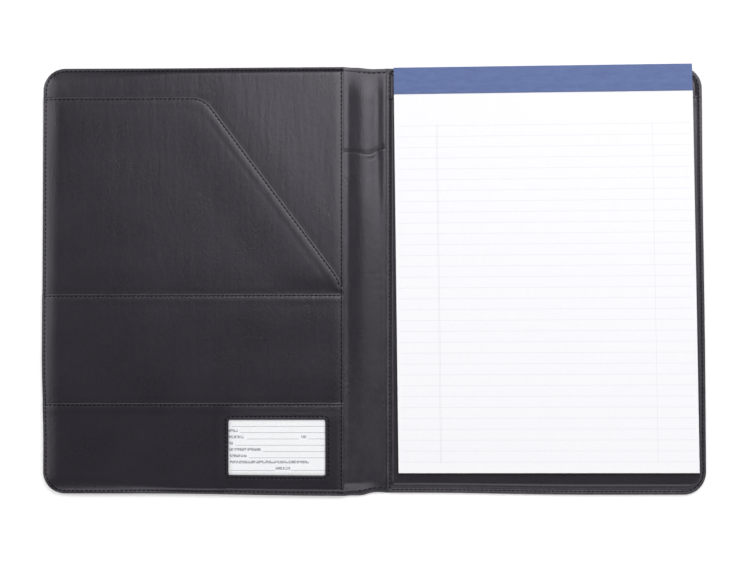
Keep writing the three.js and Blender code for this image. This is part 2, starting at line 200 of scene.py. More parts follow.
def add_node(tree, kind, inputs=None, **settings):
    """A node of a tree, with its settings and its inputs."""
    made = tree.nodes.new(kind)
    for key, value in settings.items():
        setattr(made, key, value)
    for key, value in (inputs or {}).items():
        feed(tree, made.inputs[key], value)
    return made


class Finish:
    """A material, with its nodes written in a few words."""

    def __init__(self, name):
        self.material = bpy.data.materials.new(name)
        self.material.use_nodes = True
        self.tree = self.material.node_tree
        self.shader = self.tree.nodes["Principled BSDF"]
        self.place = self.node("ShaderNodeTexCoord").outputs["Object"]

    def node(self, kind, inputs=None, **settings):
        return add_node(self.tree, kind, inputs, **settings)

    def set(self, **values):
        for key, value in values.items():
            feed(self.tree, self.shader.inputs[key.replace("_", " ")], value)

    def maths(self, operation, *values, clamp=False):
        inputs = dict(enumerate(values))
        return self.node("ShaderNodeMath", inputs, operation=operation, use_clamp=clamp).outputs[0]

    def times(self, first, second):
        return self.maths("MULTIPLY", first, second)

    def gap(self, first, second):
        return self.maths("ABSOLUTE", self.maths("SUBTRACT", first, second))

    def between(self, value, low, high):
        """1 where a value lies between two others, 0 elsewhere."""
        return self.times(self.maths("GREATER_THAN", value, low), self.maths("LESS_THAN", value, high))

    def largest(self, values):
        total = values[0]
        for other in values[1:]:
            total = self.maths("MAXIMUM", total, other)
        return total

    def spread(self, value, low, high, to_low=0.0, to_high=1.0):
        """Maps a range of values to another, held at both ends."""
        inputs = {"Value": value, "From Min": low, "From Max": high, "To Min": to_low, "To Max": to_high}
        return self.node("ShaderNodeMapRange", inputs).outputs["Result"]

    def blend(self, share, low, high):
        """A colour between two others, which are the seventh and eighth sockets of the mix node."""
        return self.node("ShaderNodeMix", {0: share, 6: low, 7: high}, data_type="RGBA").outputs[2]

    def stretched(self, scale, place=None):
        inputs = {"Vector": place or self.place, "Scale": scale}
        return self.node("ShaderNodeMapping", inputs).outputs["Vector"]

    def noise(self, scale, detail=2.0, roughness=0.5, place=None):
        inputs = {"Vector": place or self.place, "Scale": scale, "Detail": detail, "Roughness": roughness}
        return self.node("ShaderNodeTexNoise", inputs).outputs["Fac"]

    def cells(self, scale, feature="DISTANCE_TO_EDGE", place=None):
        inputs = {"Vector": place or self.place, "Scale": scale}
        return self.node("ShaderNodeTexVoronoi", inputs, feature=feature).outputs["Distance"]

    def split(self, place):
        """The X and Y of a place."""
        outputs = self.node("ShaderNodeSeparateXYZ", {"Vector": place}).outputs
        return outputs["X"], outputs["Y"]

    def on_pad(self):
        """The place on the flat pad, from its own map."""
        return self.split(self.node("ShaderNodeUVMap", uv_map="pad").outputs["UV"])

    def bump(self, height, distance, strength=1.0, under=None):
        inputs = {"Height": height, "Distance": distance, "Strength": strength}
        if under is not None:
            inputs["Normal"] = under
        return self.node("ShaderNodeBump", inputs).outputs["Normal"]


def leather_finish(name, dark, light, streaks):
    """Fine-grained leather: small pores, drawn streaks, uneven dye, and edges lightened by wear and by
    painted highlight and sheen.
    """
    finish = Finish(name)
    patches = finish.noise(16, 3.0, 0.5)
    mottling = finish.noise(420, 3.0, 0.6)
    tone = finish.maths("MULTIPLY_ADD", mottling, 0.3, patches)
    dyed = finish.blend(finish.spread(tone, 0.35, 0.95), dark, light)
    rub_and_sheen_breakup = finish.spread(finish.noise(160, 3.0), 0.35, 0.65, 0.45, 1.0)
    wear_and_sheen_share = finish.node("ShaderNodeAttribute", attribute_name="wear_and_sheen").outputs["Fac"]
    wear_and_sheen = finish.maths("MULTIPLY", wear_and_sheen_share, rub_and_sheen_breakup, clamp=True)
    # The lighter colour is partly wear and partly painted highlight and sheen along rims, mouths and the
    # front corner.
    finish.set(Base_Color=finish.blend(wear_and_sheen, dyed, (0.058, 0.054, 0.063, 1)))
    gloss = finish.spread(finish.noise(30, 3.0), 0.25, 0.75, 0.27, 0.32)
    finish.set(Roughness=finish.maths("ADD", gloss, finish.spread(mottling, 0.3, 0.7, -0.015, 0.015)))
    finish.set(Specular_Tint=(0.945, 0.915, 1.0, 1), Specular_IOR_Level=0.53)
    pores = finish.spread(finish.cells(1050), 0.0, 0.16)
    grain = finish.maths("MULTIPLY_ADD", finish.noise(3200, 2.0), 0.35, pores)
    normal = finish.bump(grain, 0.000017, 0.6)
    creased = finish.noise(1.0, 3.0, 0.6, finish.stretched((190, 120, 120)))
    normal = finish.bump(finish.spread(finish.gap(creased, 0.5), 0.0, 0.1), 0.00005, 0.4, normal)
    drawn = finish.noise(1.0, 3.0, 0.6, finish.stretched((170, 20, 20)))
    normal = finish.bump(drawn, 0.00016, streaks, normal)
    finish.set(Normal=normal)
    return finish.material


def thread_finish():
    """Black waxed thread with a fine twist."""
    finish = Finish("thread")
    tone = finish.spread(finish.noise(900, 2.0), 0.3, 0.7)
    finish.set(Base_Color=finish.blend(tone, (0.0012, 0.0012, 0.0014, 1), (0.004, 0.0038, 0.0045, 1)))
    finish.set(Roughness=0.7, Specular_IOR_Level=0.08)
    twist = finish.stretched((2600, 2600, 900))
    finish.set(Normal=finish.bump(finish.noise(1.0, 2.0, 0.5, twist), 0.0001, 0.4))
    return finish.material


LEATHER = leather_finish("leather", (0.009, 0.0074, 0.012, 1), (0.0142, 0.0122, 0.0178, 1), 0.6)
LINING = leather_finish("lining_leather", (0.0105, 0.0088, 0.0136, 1), (0.0168, 0.0146, 0.0208, 1), 0.9)
THREAD = thread_finish()


def mesh_piece(name, vertices, faces, materials, wear_and_sheen=None, crease_angle=55):
    """A mesh object at the origin from points in millimetres."""
    mesh = bpy.data.meshes.new(name)
    mesh.from_pydata((np.asarray(vertices) * MM).tolist(), [], faces)
    for material in materials:
        mesh.materials.append(material)
    # The wear_and_sheen attribute marks worn leather together with painted highlight and sheen.
    if wear_and_sheen is not None:
        attribute = mesh.attributes.new("wear_and_sheen", "FLOAT", "POINT")
        attribute.data.foreach_set("value", np.asarray(wear_and_sheen, np.float32))
    mesh.shade_smooth()
    mesh.set_sharp_from_angle(angle=radians(crease_angle))
    mesh.validate()
    return add_object(name, mesh)


def two_sided(name, outer, inner, faces, materials, wear_and_sheen=None, crease_angle=55):
    """A closed piece from a sheet of faces with an outer and an inner side, walled at its borders."""
    count = len(outer)
    borders = {}
    for face in faces:
        for a, b in zip(face, face[1:] + face[:1]):
            if borders.pop((b, a), None) is None:
                borders[(a, b)] = True
    walls = [(b, a, a + count, b + count) for a, b in borders]
    backs = [tuple(i + count for i in reversed(face)) for face in faces]
    both = None if wear_and_sheen is None else np.concatenate([wear_and_sheen, wear_and_sheen])
    return mesh_piece(name, np.vstack([outer, inner]), faces + backs + walls, materials, both, crease_angle)


# How far the worn leather has moved out, or has been drawn in where less than nothing
SPINE_SIDE_AT_TAIL = 1.8
SPINE_SIDE_AT_HEAD = 0.5
GUTTER_AT_TAIL = 1.3
GUTTER_AT_HEAD = 0.9
PAD_SIDE_AT_TAIL = -0.5
PAD_SIDE_AT_HEAD = -0.8
FAR_SIDE_AT_TAIL = 1.0
FRONT_EDGE_OUT = 1.6
BACK_EDGE_OUT = 0.9


def settled(places):
    """The leather has stretched a little with use, most at the ends of the spine."""
    x, y = places[:, 0], places[:, 1]
    to_spine = smooth((x + 170) / 150) * (1 - smooth((x + 9) / 15))
    gutter = hump(x + 9, 7.0)
    beside_pad = smooth((x - 3) / 8) * (1 - smooth((x - 20) / 100))
    far_side = smooth((x - 50) / 110)
    at_tail = SPINE_SIDE_AT_TAIL * to_spine + GUTTER_AT_TAIL * gutter
    at_tail = at_tail + PAD_SIDE_AT_TAIL * beside_pad + FAR_SIDE_AT_TAIL * far_side
    at_head = SPINE_SIDE_AT_HEAD * to_spine + GUTTER_AT_HEAD * gutter + PAD_SIDE_AT_HEAD * beside_pad
    ends = np.clip((np.abs(y) - 110) / 45, 0, 1.05) ** 2
    moved_y = np.where(y < 0, -at_tail, at_head) * ends
    front_side = FRONT_EDGE_OUT * smooth((-y - 55) / 65) * smooth((-x - 150) / 80)
    back_side = BACK_EDGE_OUT * smooth((90 - y) / 160) * smooth((x - 150) / 80)
    return np.column_stack([x + front_side + back_side, y + moved_y])


def closed_sheet(name, places, top, bottom, faces, material, wear_and_sheen):
    """A closed sheet over places on the plane, between two heights."""
    laid = settled(places)
    over = np.column_stack([laid, top])
    under = np.column_stack([laid, bottom])
    return two_sided(name, over, under, faces, [material], wear_and_sheen)


def fine_stations(start, end, step, close):
    """Stations from start to end, close together at both ends."""
    first = start + np.array(close)
    last = end - np.array(close)[::-1]
    gap = last[0] - first[-1]
    count = int(round(gap / step))
    middle = first[-1] + gap * np.arange(1, count) / count
    return np.concatenate([first, middle, last])


def columns_between(xs, low, high, count, low_steps=EDGE_STEPS, high_steps=EDGE_STEPS):
    """Columns of points from low to high at each place across, closer at both ends."""
    columns = []
    for x, start, end in zip(xs, low, high):
        first = start + np.array(low_steps)
        last = end - np.array(high_steps)[::-1]
        middle = first[-1] + (last[0] - first[-1]) * np.arange(1, count) / count
        ys = np.concatenate([first, middle, last])
        columns.append(np.column_stack([np.full_like(ys, x), ys]))
    return np.array(columns)


def side_stations(edge, inward, radius):
    """Stations beside an edge, in rising order, which follow its corners where those are large."""
    steps = np.array(EDGE_STEPS)
    if radius == CORNER:
        angles = np.arange(1, CORNER_STEPS + 1) / CORNER_STEPS * pi / 2
        arc = CORNER * (1 - np.cos(angles))
        steps = np.concatenate([NEAR_EDGE, arc[arc > NEAR_EDGE[-1] + 0.3]])
    return np.sort(edge + inward * steps)


class Panel:
    """The outline of the leather panels of one cover."""

    def __init__(self, left, right, left_radius, right_radius):
        self.left = left
        self.right = right
        self.left_radius = left_radius
        self.right_radius = right_radius
        self.half = HEAD - PANEL_INSET

    def inset(self, x, y):
        """Distance inside the outline."""
        from_left = x - self.left
        from_right = self.right - x
        across = np.minimum(from_left, from_right)
        along = self.half - np.abs(y)
        radius = np.where(from_left < from_right, self.left_radius, self.right_radius)
        in_corner = (across < radius) & (along < radius)
        reach = np.hypot(radius - across, radius - along)
        return np.where(in_corner, radius - reach, np.minimum(across, along))

    def half_height(self, x):
        """Half of the panel's height at a place across it."""
        from_left = x - self.left
        from_right = self.right - x
        radius = np.where(from_left < from_right, self.left_radius, self.right_radius)
        across = np.minimum(np.minimum(from_left, from_right), radius)
        rounded = np.sqrt(np.clip(radius**2 - (radius - across) ** 2, 0, None))
        return self.half - radius + rounded

    def stations(self):
        """Places across the panel, closer at both sides and round the large corners."""
        low = side_stations(self.left, 1, self.left_radius)
        high = side_stations(self.right, -1, self.right_radius)
        gap = high[0] - low[-1]
        count = int(round(gap / PANEL_STEP))
        middle = low[-1] + gap * np.arange(1, count) / count
        return np.concatenate([low, middle, high])


FRONT = Panel(-FORE_EDGE + PANEL_INSET, FRONT_EDGE, CORNER, 0.6)
BACK = Panel(BACK_EDGE, FORE_EDGE - PANEL_INSET, SPINE_SIDE_CORNER, CORNER)


def front_share(x, y):
    """How far the front cover's panels have risen from their sewn rim, from 0 to 1."""
    end_width = 4.0 + 8.0 * smooth((FRONT.left + 110 - x) / 90)
    fore = pillow((x - FRONT.left - 1.0) / 13.0)
    ends = pillow((FRONT.half - np.abs(y) - 1.0) / end_width)
    spine_side = 0.8 + 0.2 * smooth((FRONT.right - x - 1.6) / 4.5)
    return fore * ends * spine_side


def back_share(x, y):
    """How far the back cover's panels have risen from their sewn rim, from 0 to 1."""
    beside_pad = (x - PAD_X) * cos(PAD_TURN) + (y - PAD_Y) * sin(PAD_TURN) - PAD_WIDTH / 2
    end = smooth((BACK.half - np.abs(y) - 2.3) / np.where(y > 0, 3.0, 4.6))
    side = smooth((BACK.inset(x, y) - 2.2) / 2.4)
    under_pad = smooth((2.0 - beside_pad) / 1.8)
    over_board = smooth((BOARD_EDGE + 1.5 - x) / 1.3)
    return side * np.minimum(end, np.maximum(under_pad, over_board))


def front_sag(x, y):
    """Slow unevenness that all the front plies share."""
    inside = smooth(FRONT.inset(x, y) / 18)
    over_card = hump(np.hypot(x - WINDOW_X, y - WINDOW_Y), 62)
    return SAG * inside * (1 - over_card) * unevenness(x, y, 60, 85, 3.1)


def sewn_groove(inset, stitch_inset=STITCH_INSET):
    """The thread pulls the leather down along its seam."""
    return -GROOVE_DEPTH * hump(inset - stitch_inset, GROOVE_HALF_WIDTH)


def rolled_edge(top, bottom, inset):
    """Thins a ply near its turned edge, about the middle of its thickness."""
    t = np.clip(1 - inset / EDGE_ROLL, 0, 1)
    keep = EDGE_FLAT + (1 - EDGE_FLAT) * np.sqrt(1 - t * t)
    middle = (top + bottom) / 2
    return middle + (top - middle) * keep, middle - (middle - bottom) * keep


def document_mouth_distance(x, y):
    """Distance below the document pocket's mouth."""
    rise = DOCUMENT_MOUTH - SLANT_END_Y
    run = FRONT_EDGE - SLANT_CORNER_X
    steepness = np.hypot(rise, run)
    line = DOCUMENT_MOUTH - rise * (x - SLANT_CORNER_X) / run
    slanting = softer_min(DOCUMENT_MOUTH - y, (line - y) * run / steepness, SLANT_ROUNDING)
    return softer_min(slanting, FRONT_EDGE + 0.3 - x, 7.0)


def straight_mouth_distance(mouth):
    """Distance below a mouth that runs level across the cover."""
    return lambda x, y: mouth - y


def mouth_height(distance, xs):
    """Where the distance below a mouth is nothing, for each place across the cover."""
    low = np.full_like(xs, TAIL)
    high = np.full_like(xs, HEAD)
    for _ in range(40):
        middle = (low + high) / 2
        below = distance(xs, middle) > 0
        low = np.where(below, middle, low)
        high = np.where(below, high, middle)
    return (low + high) / 2


def pressed_by(covering):
    """How far a ply gives way under the mouth of the next, which lies at no distance."""
    dip = np.where(covering < 0, 1 - smooth(-covering / DIP_WIDTH), 1 - smooth(covering / 6))
    return PRESSED_DEPTH * hump(covering + 0.1, 0.9) + DIP_DEPTH * dip


class Ply:
    """One leather panel of a cover: where it lies, how high, and how its mouth is hemmed."""

    def __init__(self, name, panel, share, tops, mouth=None, covering=None, hem_end=None, puff=0.0):
        self.name = name
        self.panel = panel
        self.share = share
        self.rim_top, self.inner_top = tops
        self.mouth = mouth
        self.covering = covering
        self.hem_end = hem_end
        self.puff = puff

    def mouth_distance(self, x, y):
        """Distance below the ply's own mouth, or very far where it has none."""
        if self.mouth is None:
            return np.full(np.shape(x), FAR)
        return self.mouth(x, y)

    def level(self, x, y):
        """The ply's upper face before its hem, seams and edges."""
        z = self.rim_top + (self.inner_top - self.rim_top) * self.share(x, y)
        if self.panel is FRONT:
            z = z + front_sag(x, y)
        below = self.mouth_distance(x, y)
        swell = self.puff * pillow((below - 1.0) / 11.0) * (1 - smooth((below - 11) / 34))
        if self.hem_end is not None:
            swell = swell * smooth((y - self.hem_end) / 12)
        return z + swell * self.share(x, y)

    def faces(self, x, y):
        """Heights of the upper and the under face."""
        inset = self.panel.inset(x, y)
        below = self.mouth_distance(x, y)
        level = self.level(x, y) + sewn_groove(inset)
        if self.covering is not None:
            level = level - pressed_by(self.covering(x, y)) * self.share(x, y)
        hem = 0.6 * HEM * (1 - smooth((below - 4.0) / 5.0))
        if self.hem_end is not None:
            hem = hem * smooth((y - self.hem_end) / 3)
        top = level + hem * self.share(x, y) + 0.7 * sewn_groove(below, MOUTH_STITCH_INSET)
        return rolled_edge(top, level - PLY, np.minimum(inset, below / 1.4))

    def top(self, x, y):
        return self.faces(x, y)[0]

    def wear_and_sheen(self, x, y):
        """How much lighter the leather is painted: wear, and a painted highlight along its edges and mouth.
        """
        inset = self.panel.inset(x, y)
        below = self.mouth_distance(x, y)
        # Rim and mouth: wear with a painted highlight on the turned edge.
        rim = RIM_WEAR_AND_SHEEN * hump(inset - 0.6, 0.8) + MOUTH_WEAR_AND_HIGHLIGHT * hump(below - 0.5, 0.4)
        if self.panel is BACK:
            # Painted highlight over the back cover's rim beside its seam, stronger towards the tail.
            rim = rim + BACK_RIM_HIGHLIGHT * hump(inset - 2.4, 3.2) * smooth((60 - y) / 150)
        else:
            # Painted sheen at the front cover's upper fore-edge corner.
            rim = rim + CORNER_SHEEN * hump(np.hypot(x - FRONT.left - 9, y - FRONT.half + 9), 13)
        return np.clip(rim + 0.2 * hump(inset - 3.4, 0.9), 0, 1)


def grid_of(panel, mouth):
    """Points of a panel, by columns from the tail to its mouth or the head."""
    xs = panel.stations()
    low = -panel.half_height(xs)
    high = panel.half_height(xs)
    if mouth is not None:
        high = np.minimum(high, mouth_height(mouth, xs))
    gap = np.max(high - low) - 2 * EDGE_STEPS[-1]
    return columns_between(xs, low, high, int(round(gap / PANEL_STEP)))


def quads(wide, tall, left_out=None):
    """Faces of a grid stored by columns, seen from above."""
    faces = []
    for i in range(wide - 1):
        for j in range(tall - 1):
            if left_out and left_out(i, j):
                continue
            a = i * tall + j
            faces.append((a, a + tall, a + tall + 1, a + 1))
    return faces


def shifted(ring):
    """A closed ring of points, begun one point later."""
    return ring[1:] + ring[:1]


def finish_panel(ply, places, faces, material, body, replaced):
    """A ply as a piece, in place of its CAD node."""
    x, y = places[:, 0], places[:, 1]
    top, bottom = ply.faces(x, y)
    piece = closed_sheet(ply.name, places, top, bottom, faces, material, ply.wear_and_sheen(x, y))
    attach(piece, body)
    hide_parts(replaced)


def leather_panel(ply, material, body, replaced):
    """A sewn leather panel without openings."""
    columns = grid_of(ply.panel, ply.mouth)
    faces = quads(*columns.shape[:2])
    finish_panel(ply, columns.reshape(-1, 2), faces, material, body, replaced)


class WindowPly(Ply):
    """The lower pocket, raised over the card behind its window."""

    def window_distance(self, x, y):
        """Distance outside the window's rounded outline."""
        across = np.abs(x - WINDOW_X) - CORE_X
        along = np.abs(y - WINDOW_Y) - CORE_Y
        outside = np.hypot(np.clip(across, 0, None), np.clip(along, 0, None))
        return outside + np.minimum(np.maximum(across, along), 0) - WINDOW_RADIUS

    def level(self, x, y):
        below = self.mouth_distance(x, y)
        over_card = (0.55 + 0.45 * smooth(below / 12)) * smooth((x - COMPARTMENT_SEAM - 1) / 14)
        seam = -0.1 * hump(x - COMPARTMENT_SEAM, 0.9) * smooth((below - 1) / 3)
        return super().level(x, y) + (CARD_RISE * over_card + seam) * self.share(x, y)

    def faces(self, x, y):
        top, bottom = super().faces(x, y)
        around = self.window_distance(x, y)
        hem = 0.3 * HEM * (1 - smooth((around - 3.0) / 4.0))
        groove = 0.6 * sewn_groove(around, WINDOW_STITCH_INSET)
        return rolled_edge(top + hem + groove, bottom, np.clip(around, 0, None))

    def wear_and_sheen(self, x, y):
        # A lighter ring round the window: wear with a painted highlight on its hemmed edge.
        return np.clip(super().wear_and_sheen(x, y) + 0.25 * hump(self.window_distance(x, y) - 0.4, 0.6), 0, 1)


def window_outline_point(place):
    """The nearest point of the window's rounded outline."""
    centre = np.array([WINDOW_X, WINDOW_Y])
    core = np.clip(place - centre, (-CORE_X, -CORE_Y), (CORE_X, CORE_Y))
    away = place - centre - core
    return centre + core + away * WINDOW_RADIUS / np.hypot(*away)


def window_pocket(ply, material):
    """The lower pocket's grid, left open round the window and filled with rings up to its edge."""
    columns = grid_of(ply.panel, ply.mouth)
    wide, tall = columns.shape[:2]
    xs, ys = columns[:, 0, 0], columns[wide // 2, :, 1]
    open_x = WINDOW_WIDTH / 2 + WINDOW_MARGIN
    open_y = WINDOW_HEIGHT / 2 + WINDOW_MARGIN
    first_i, last_i = np.searchsorted(xs, (WINDOW_X - open_x, WINDOW_X + open_x)).tolist()
    first_j, last_j = np.searchsorted(ys, (WINDOW_Y - open_y, WINDOW_Y + open_y)).tolist()
    last_i -= 1
    last_j -= 1
    faces = quads(wide, tall, lambda i, j: first_i <= i < last_i and first_j <= j < last_j)
    loop = [(i, first_j) for i in range(first_i, last_i)]
    loop += [(last_i, j) for j in range(first_j, last_j)]
    loop += [(i, last_j) for i in range(last_i, first_i, -1)]
    loop += [(first_i, j) for j in range(last_j, first_j, -1)]
    places = columns.reshape(-1, 2).tolist()
    rings = [[i * tall + j for i, j in loop]]
    for step in EDGE_STEPS[-2::-1]:
        ring = []
        for corner in rings[0]:
            outer = np.array(places[corner])
            inner = window_outline_point(outer)
            ring.append(len(places))
            places.append((inner + (outer - inner) * step / np.hypot(*(outer - inner))).tolist())
        rings.append(ring)
    for outer, inner in zip(rings, rings[1:]):
        faces += [(a, b, c, d) for a, b, c, d in zip(outer, shifted(outer), shifted(inner), inner)]
    used = sorted({index for face in faces for index in face})
    renumbered = {old: new for new, old in enumerate(used)}
    faces = [tuple(renumbered[index] for index in face) for face in faces]
    kept = np.array(places)[used]
    finish_panel(ply, kept, faces, material, "front_cover", "lower_pocket")


def front_tops(layer):
    """Heights of a front ply at its rim and inside, counted up from the lining."""
    return RIM_TOP + layer * PLY_STEP, INNER_TOP + layer * PLY_STEP


middle_mouth_distance = straight_mouth_distance(MIDDLE_MOUTH)
lower_mouth_distance = straight_mouth_distance(LOWER_MOUTH)
pad_mouth_distance = straight_mouth_distance(PAD_MOUTH)

LINING_PLY = Ply("front_lining_panel", FRONT, front_share, front_tops(0), covering=document_mouth_distance)
DOCUMENT_PLY = Ply(
    "document_pocket_panel",
    FRONT,
    front_share,
    front_tops(1),
    document_mouth_distance,
    middle_mouth_distance,
    MIDDLE_MOUTH,
    DOCUMENT_PUFF,
)
MIDDLE_PLY = Ply(
    "middle_pocket_panel",
    FRONT,
    front_share,
    front_tops(2),
    middle_mouth_distance,
    lower_mouth_distance,
    LOWER_MOUTH,
    MIDDLE_PUFF,
)
LOWER_PLY = WindowPly("lower_pocket_panel", FRONT, front_share, front_tops(3), lower_mouth_distance)
BACK_LINING_PLY = Ply("back_lining_panel", BACK, back_share, (RIM_TOP, INNER_TOP))
PAD_POCKET_PLY = Ply(
    "pad_pocket_panel", BACK, back_share, (RIM_TOP + PLY_STEP, PAD_POCKET_TOP), pad_mouth_distance
)


# Outer leather, one skin round both covers and the spine
WAIST_CENTRE = -5.0
WAIST_HALF_LENGTH = 15.2
WAIST_DEPTH = 1.6
SPINE_FOLD = -FOLD
NEAR_SPINE = 24
SKIN_STEP = 4.0
CREASE_DEPTH = 0.16
SEAM_PULL = 0.18
SKIN_SWELL = 0.05
OUTSIDE_SEAM_END = 17
THREAD_LEVEL_OUTSIDE = 0.17


def skin_half_height(x):
    """Half of the outer leather's height at a place across it."""
    across = np.clip(CORNER - (FORE_EDGE - np.abs(x)), 0, CORNER)
    rounded = np.sqrt(CORNER**2 - across**2)
    waist = WAIST_DEPTH * np.clip(1 - ((x - WAIST_CENTRE) / WAIST_HALF_LENGTH) ** 2, 0, None)
    return HEAD - CORNER + rounded - waist


def skin_inset(x, y):
    """Distance inside the outer leather's edge."""
    from_edge = FORE_EDGE - np.abs(x)
    along = HEAD - np.abs(y)
    reach = np.hypot(CORNER - from_edge, CORNER - along)
    in_corner = (from_edge < CORNER) & (along < CORNER)
    return np.where(in_corner, CORNER - reach, np.minimum(from_edge, skin_half_height(x) - np.abs(y)))


def outer_skin(name, side, replaced):
    """Half of the outer leather, from a fore edge to the middle of the spine."""
    near_spine = np.arange(0, NEAR_SPINE, 1.0)
    across = np.arange(NEAR_SPINE, FORE_EDGE - CORNER, SKIN_STEP)
    corner = side_stations(FORE_EDGE, -1, CORNER)
    xs = side * np.concatenate([near_spine, across, corner])
    if side < 0:
        xs = xs[::-1]
    half = skin_half_height(xs)
    count = int(round(2 * HEAD / SKIN_STEP))
    columns = columns_between(xs, -half, half, count, NEAR_EDGE, NEAR_EDGE)
    wide, tall = columns.shape[:2]
    places = columns.reshape(-1, 2)
    x, y = places[:, 0], places[:, 1]
    inset = skin_inset(x, y)
    crease = CREASE_DEPTH * hump(np.abs(x) - SPINE_FOLD, 1.0)
    pulled = SEAM_PULL * hump(inset - STITCH_INSET, GROOVE_HALF_WIDTH)
    swell = SKIN_SWELL * (1 + unevenness(x, y, 45, 60, 8.8))
    top = np.full_like(x, SKIN_TOP) - 0.5 * pulled
    bottom = crease + pulled + swell * smooth(inset / 6)
    top, bottom = rolled_edge(top, bottom, inset)
    # Lighter at the edge, wear with a painted highlight, and along the spine's fold, wear.
    wear_and_sheen = np.clip(hump(inset - 0.4, 1.0) + 0.6 * hump(np.abs(x) - SPINE_FOLD, 1.6), 0, 1)
    skin = closed_sheet(name, places, top, bottom, quads(wide, tall), LEATHER, wear_and_sheen)
    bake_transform(skin)
    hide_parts(*replaced)


# Gutter lining and pen pocket
GUTTER_LEFT = FRONT_EDGE - 1.6
GUTTER_RIGHT = box_of("gutter_lining")[1].x + 0.3
GUTTER_BASE = 2.25
GUTTER_STITCH_INSET = 3.0
GUTTER_COLUMNS = 46
GUTTER_ROWS = 190
ARCH_CENTRE = -5.5
ARCH_HEIGHT = 0.9
ARCH_LEFT = 14.0
ARCH_RIGHT_AT_HEAD = 10.0
ARCH_RIGHT = 13.5
PEN_MOUTH = box_of("pen_pocket_front")[1].y
PEN_FULLNESS = 0.42
TAIL_RISE = 1.5
PEN_LIFT = 0.92
ARCH_CHANGE = 0.6
BACK_SIDE_RISE = 0.55
BACK_SIDE_VALLEY = 0.35
BACK_SIDE_DROP = 0.35
FRONT_SIDE_RISE = 0.6
TAIL_TILT = 0.07
TAIL_FOLD = 0.4
PEN_CREASE = 0.1


def arch(x, y):
    """How far the spine's leather bows up across the gutter, from 0 to 1."""
    right = ARCH_RIGHT + (ARCH_RIGHT_AT_HEAD - ARCH_RIGHT) * smooth((y - 20) / 80)
    width = np.where(x < ARCH_CENTRE, ARCH_LEFT, right)
    away = np.clip(np.abs(x - ARCH_CENTRE) / width, 0, 1)
    return (1 - away**2) ** 2


def gutter_half_height(x):
    """Half of the gutter plies' height at a place across them."""
    return skin_half_height(x) - PANEL_INSET


def gutter_end(x, y):
    """Distance from the head or tail end of the gutter."""
    return gutter_half_height(x) - np.abs(y)


def gutter_level(x, y):
    """The gutter lining's upper face before its seams."""
    end = smooth((gutter_end(x, y) - 1.5) / (20 - 12 * smooth(-y / 60)))
    tail_share = smooth((-y - (HEAD - 30)) / 20)
    to_head = smooth((y + 40) / 170)
    to_tail = smooth((-y - 40) / 100)
    bow = ARCH_HEIGHT * arch(x, y) * (1 + ARCH_CHANGE * to_head - ARCH_CHANGE * to_tail)
    bow = bow + TAIL_RISE * smooth((-y - 30) / 130)
    beside_back = smooth((y - 20) / 70)
    side = BACK_SIDE_RISE * smooth((x - 4.0) / 5.6) - BACK_SIDE_VALLEY * smooth((x + 2) / 6)
    bow = bow + side * beside_back
    tilt = -TAIL_TILT * np.clip(x + 6, -12, 13) * to_tail
    beside_panel = FRONT_SIDE_RISE * hump(x - FRONT_EDGE + 0.2, 2.0)
    lowered_share = smooth((x - 7.6 - 1.6 * beside_back) / (1.4 - 0.5 * beside_back))
    lowered = (0.1 * beside_back - BACK_SIDE_DROP) * lowered_share
    tail_fold = tail_share * TAIL_FOLD * hump(x + 13, 5)
    slow = 0.05 * unevenness(x, y, 16, 45, 5.5) + 0.02 * unevenness(x, y, 8, 5, 9.1)
    pressed = (0.35 + 0.5 * hump(x - 7.4, 1.1)) * hump(y - pen_mouth(x) + 0.1, 0.9)
    return GUTTER_BASE + beside_panel + lowered + end * (bow + tilt + tail_fold + slow) - pressed


def pen_mouth(x):
    """Where the pen pocket's curved mouth runs."""
    return PEN_MOUTH - 0.5 - 1.6 * hump(x + 4, 6.5) + 2.5 * smooth(x / 6.0)


def pen_pocket_level(x, y):
    """The pen pocket's upper face, which stands clear of the gutter lining."""
    below = pen_mouth(x) - y
    full = PEN_FULLNESS * arch(x, y) * smooth((below - 1) / 40) * smooth((gutter_end(x, y) - 4) / 30)
    opened = 0.25 * hump(x - 6.6, 2.4) * (1 - smooth(below / 9))
    creases = PEN_CREASE * (hump(below - 4.0, 0.5) + hump(below - 5.2, 0.5)) * hump(x + 0.7, 3.4)
    return gutter_level(x, y) + PEN_LIFT + full + opened - creases


def gutter_rub_and_sheen(x, y):
    """How much lighter the gutter is painted: wear with a painted highlight at its ends, a painted
    highlight beside the front panels, and wear with painted sheen rising towards the tail.
    """
    edges = 0.8 * hump(gutter_end(x, y) - 0.5, 0.9) + 0.3 * hump(x - FRONT_EDGE - 1.0, 1.2)
    return np.clip(edges + 0.25 * smooth((-y - 10) / 110), 0, 1)


def gutter_strip(name, left, high, level, material, replaced, mouth=False):
    """A ply that runs along the gutter, from under the front panels to the back panels' edge."""
    xs = np.linspace(left, GUTTER_RIGHT, GUTTER_COLUMNS)
    tail_steps = EDGE_STEPS[:12]
    head_steps = (*EDGE_STEPS[:11], *np.arange(3.7, 9, 0.5)) if mouth else tail_steps
    columns = columns_between(xs, -gutter_half_height(xs), high(xs), GUTTER_ROWS, tail_steps, head_steps)
    wide, tall = columns.shape[:2]
    places = columns.reshape(-1, 2)
    x, y = places[:, 0], places[:, 1]
    end_inset = np.minimum(gutter_end(x, y), high(x) - y)
    top = level(x, y) + sewn_groove(gutter_end(x, y), GUTTER_STITCH_INSET)
    top, bottom = rolled_edge(top, top - PLY, end_inset)
    wear_and_sheen = gutter_rub_and_sheen(x, y)
    # A painted highlight along the pen pocket's mouth.
    if mouth:
        wear_and_sheen = np.clip(wear_and_sheen + 0.4 * hump(high(x) - y - 0.5, 0.4), 0, 1)
    strip = closed_sheet(name, places, top, bottom, quads(wide, tall), material, wear_and_sheen)
    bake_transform(strip)
    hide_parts(*replaced)


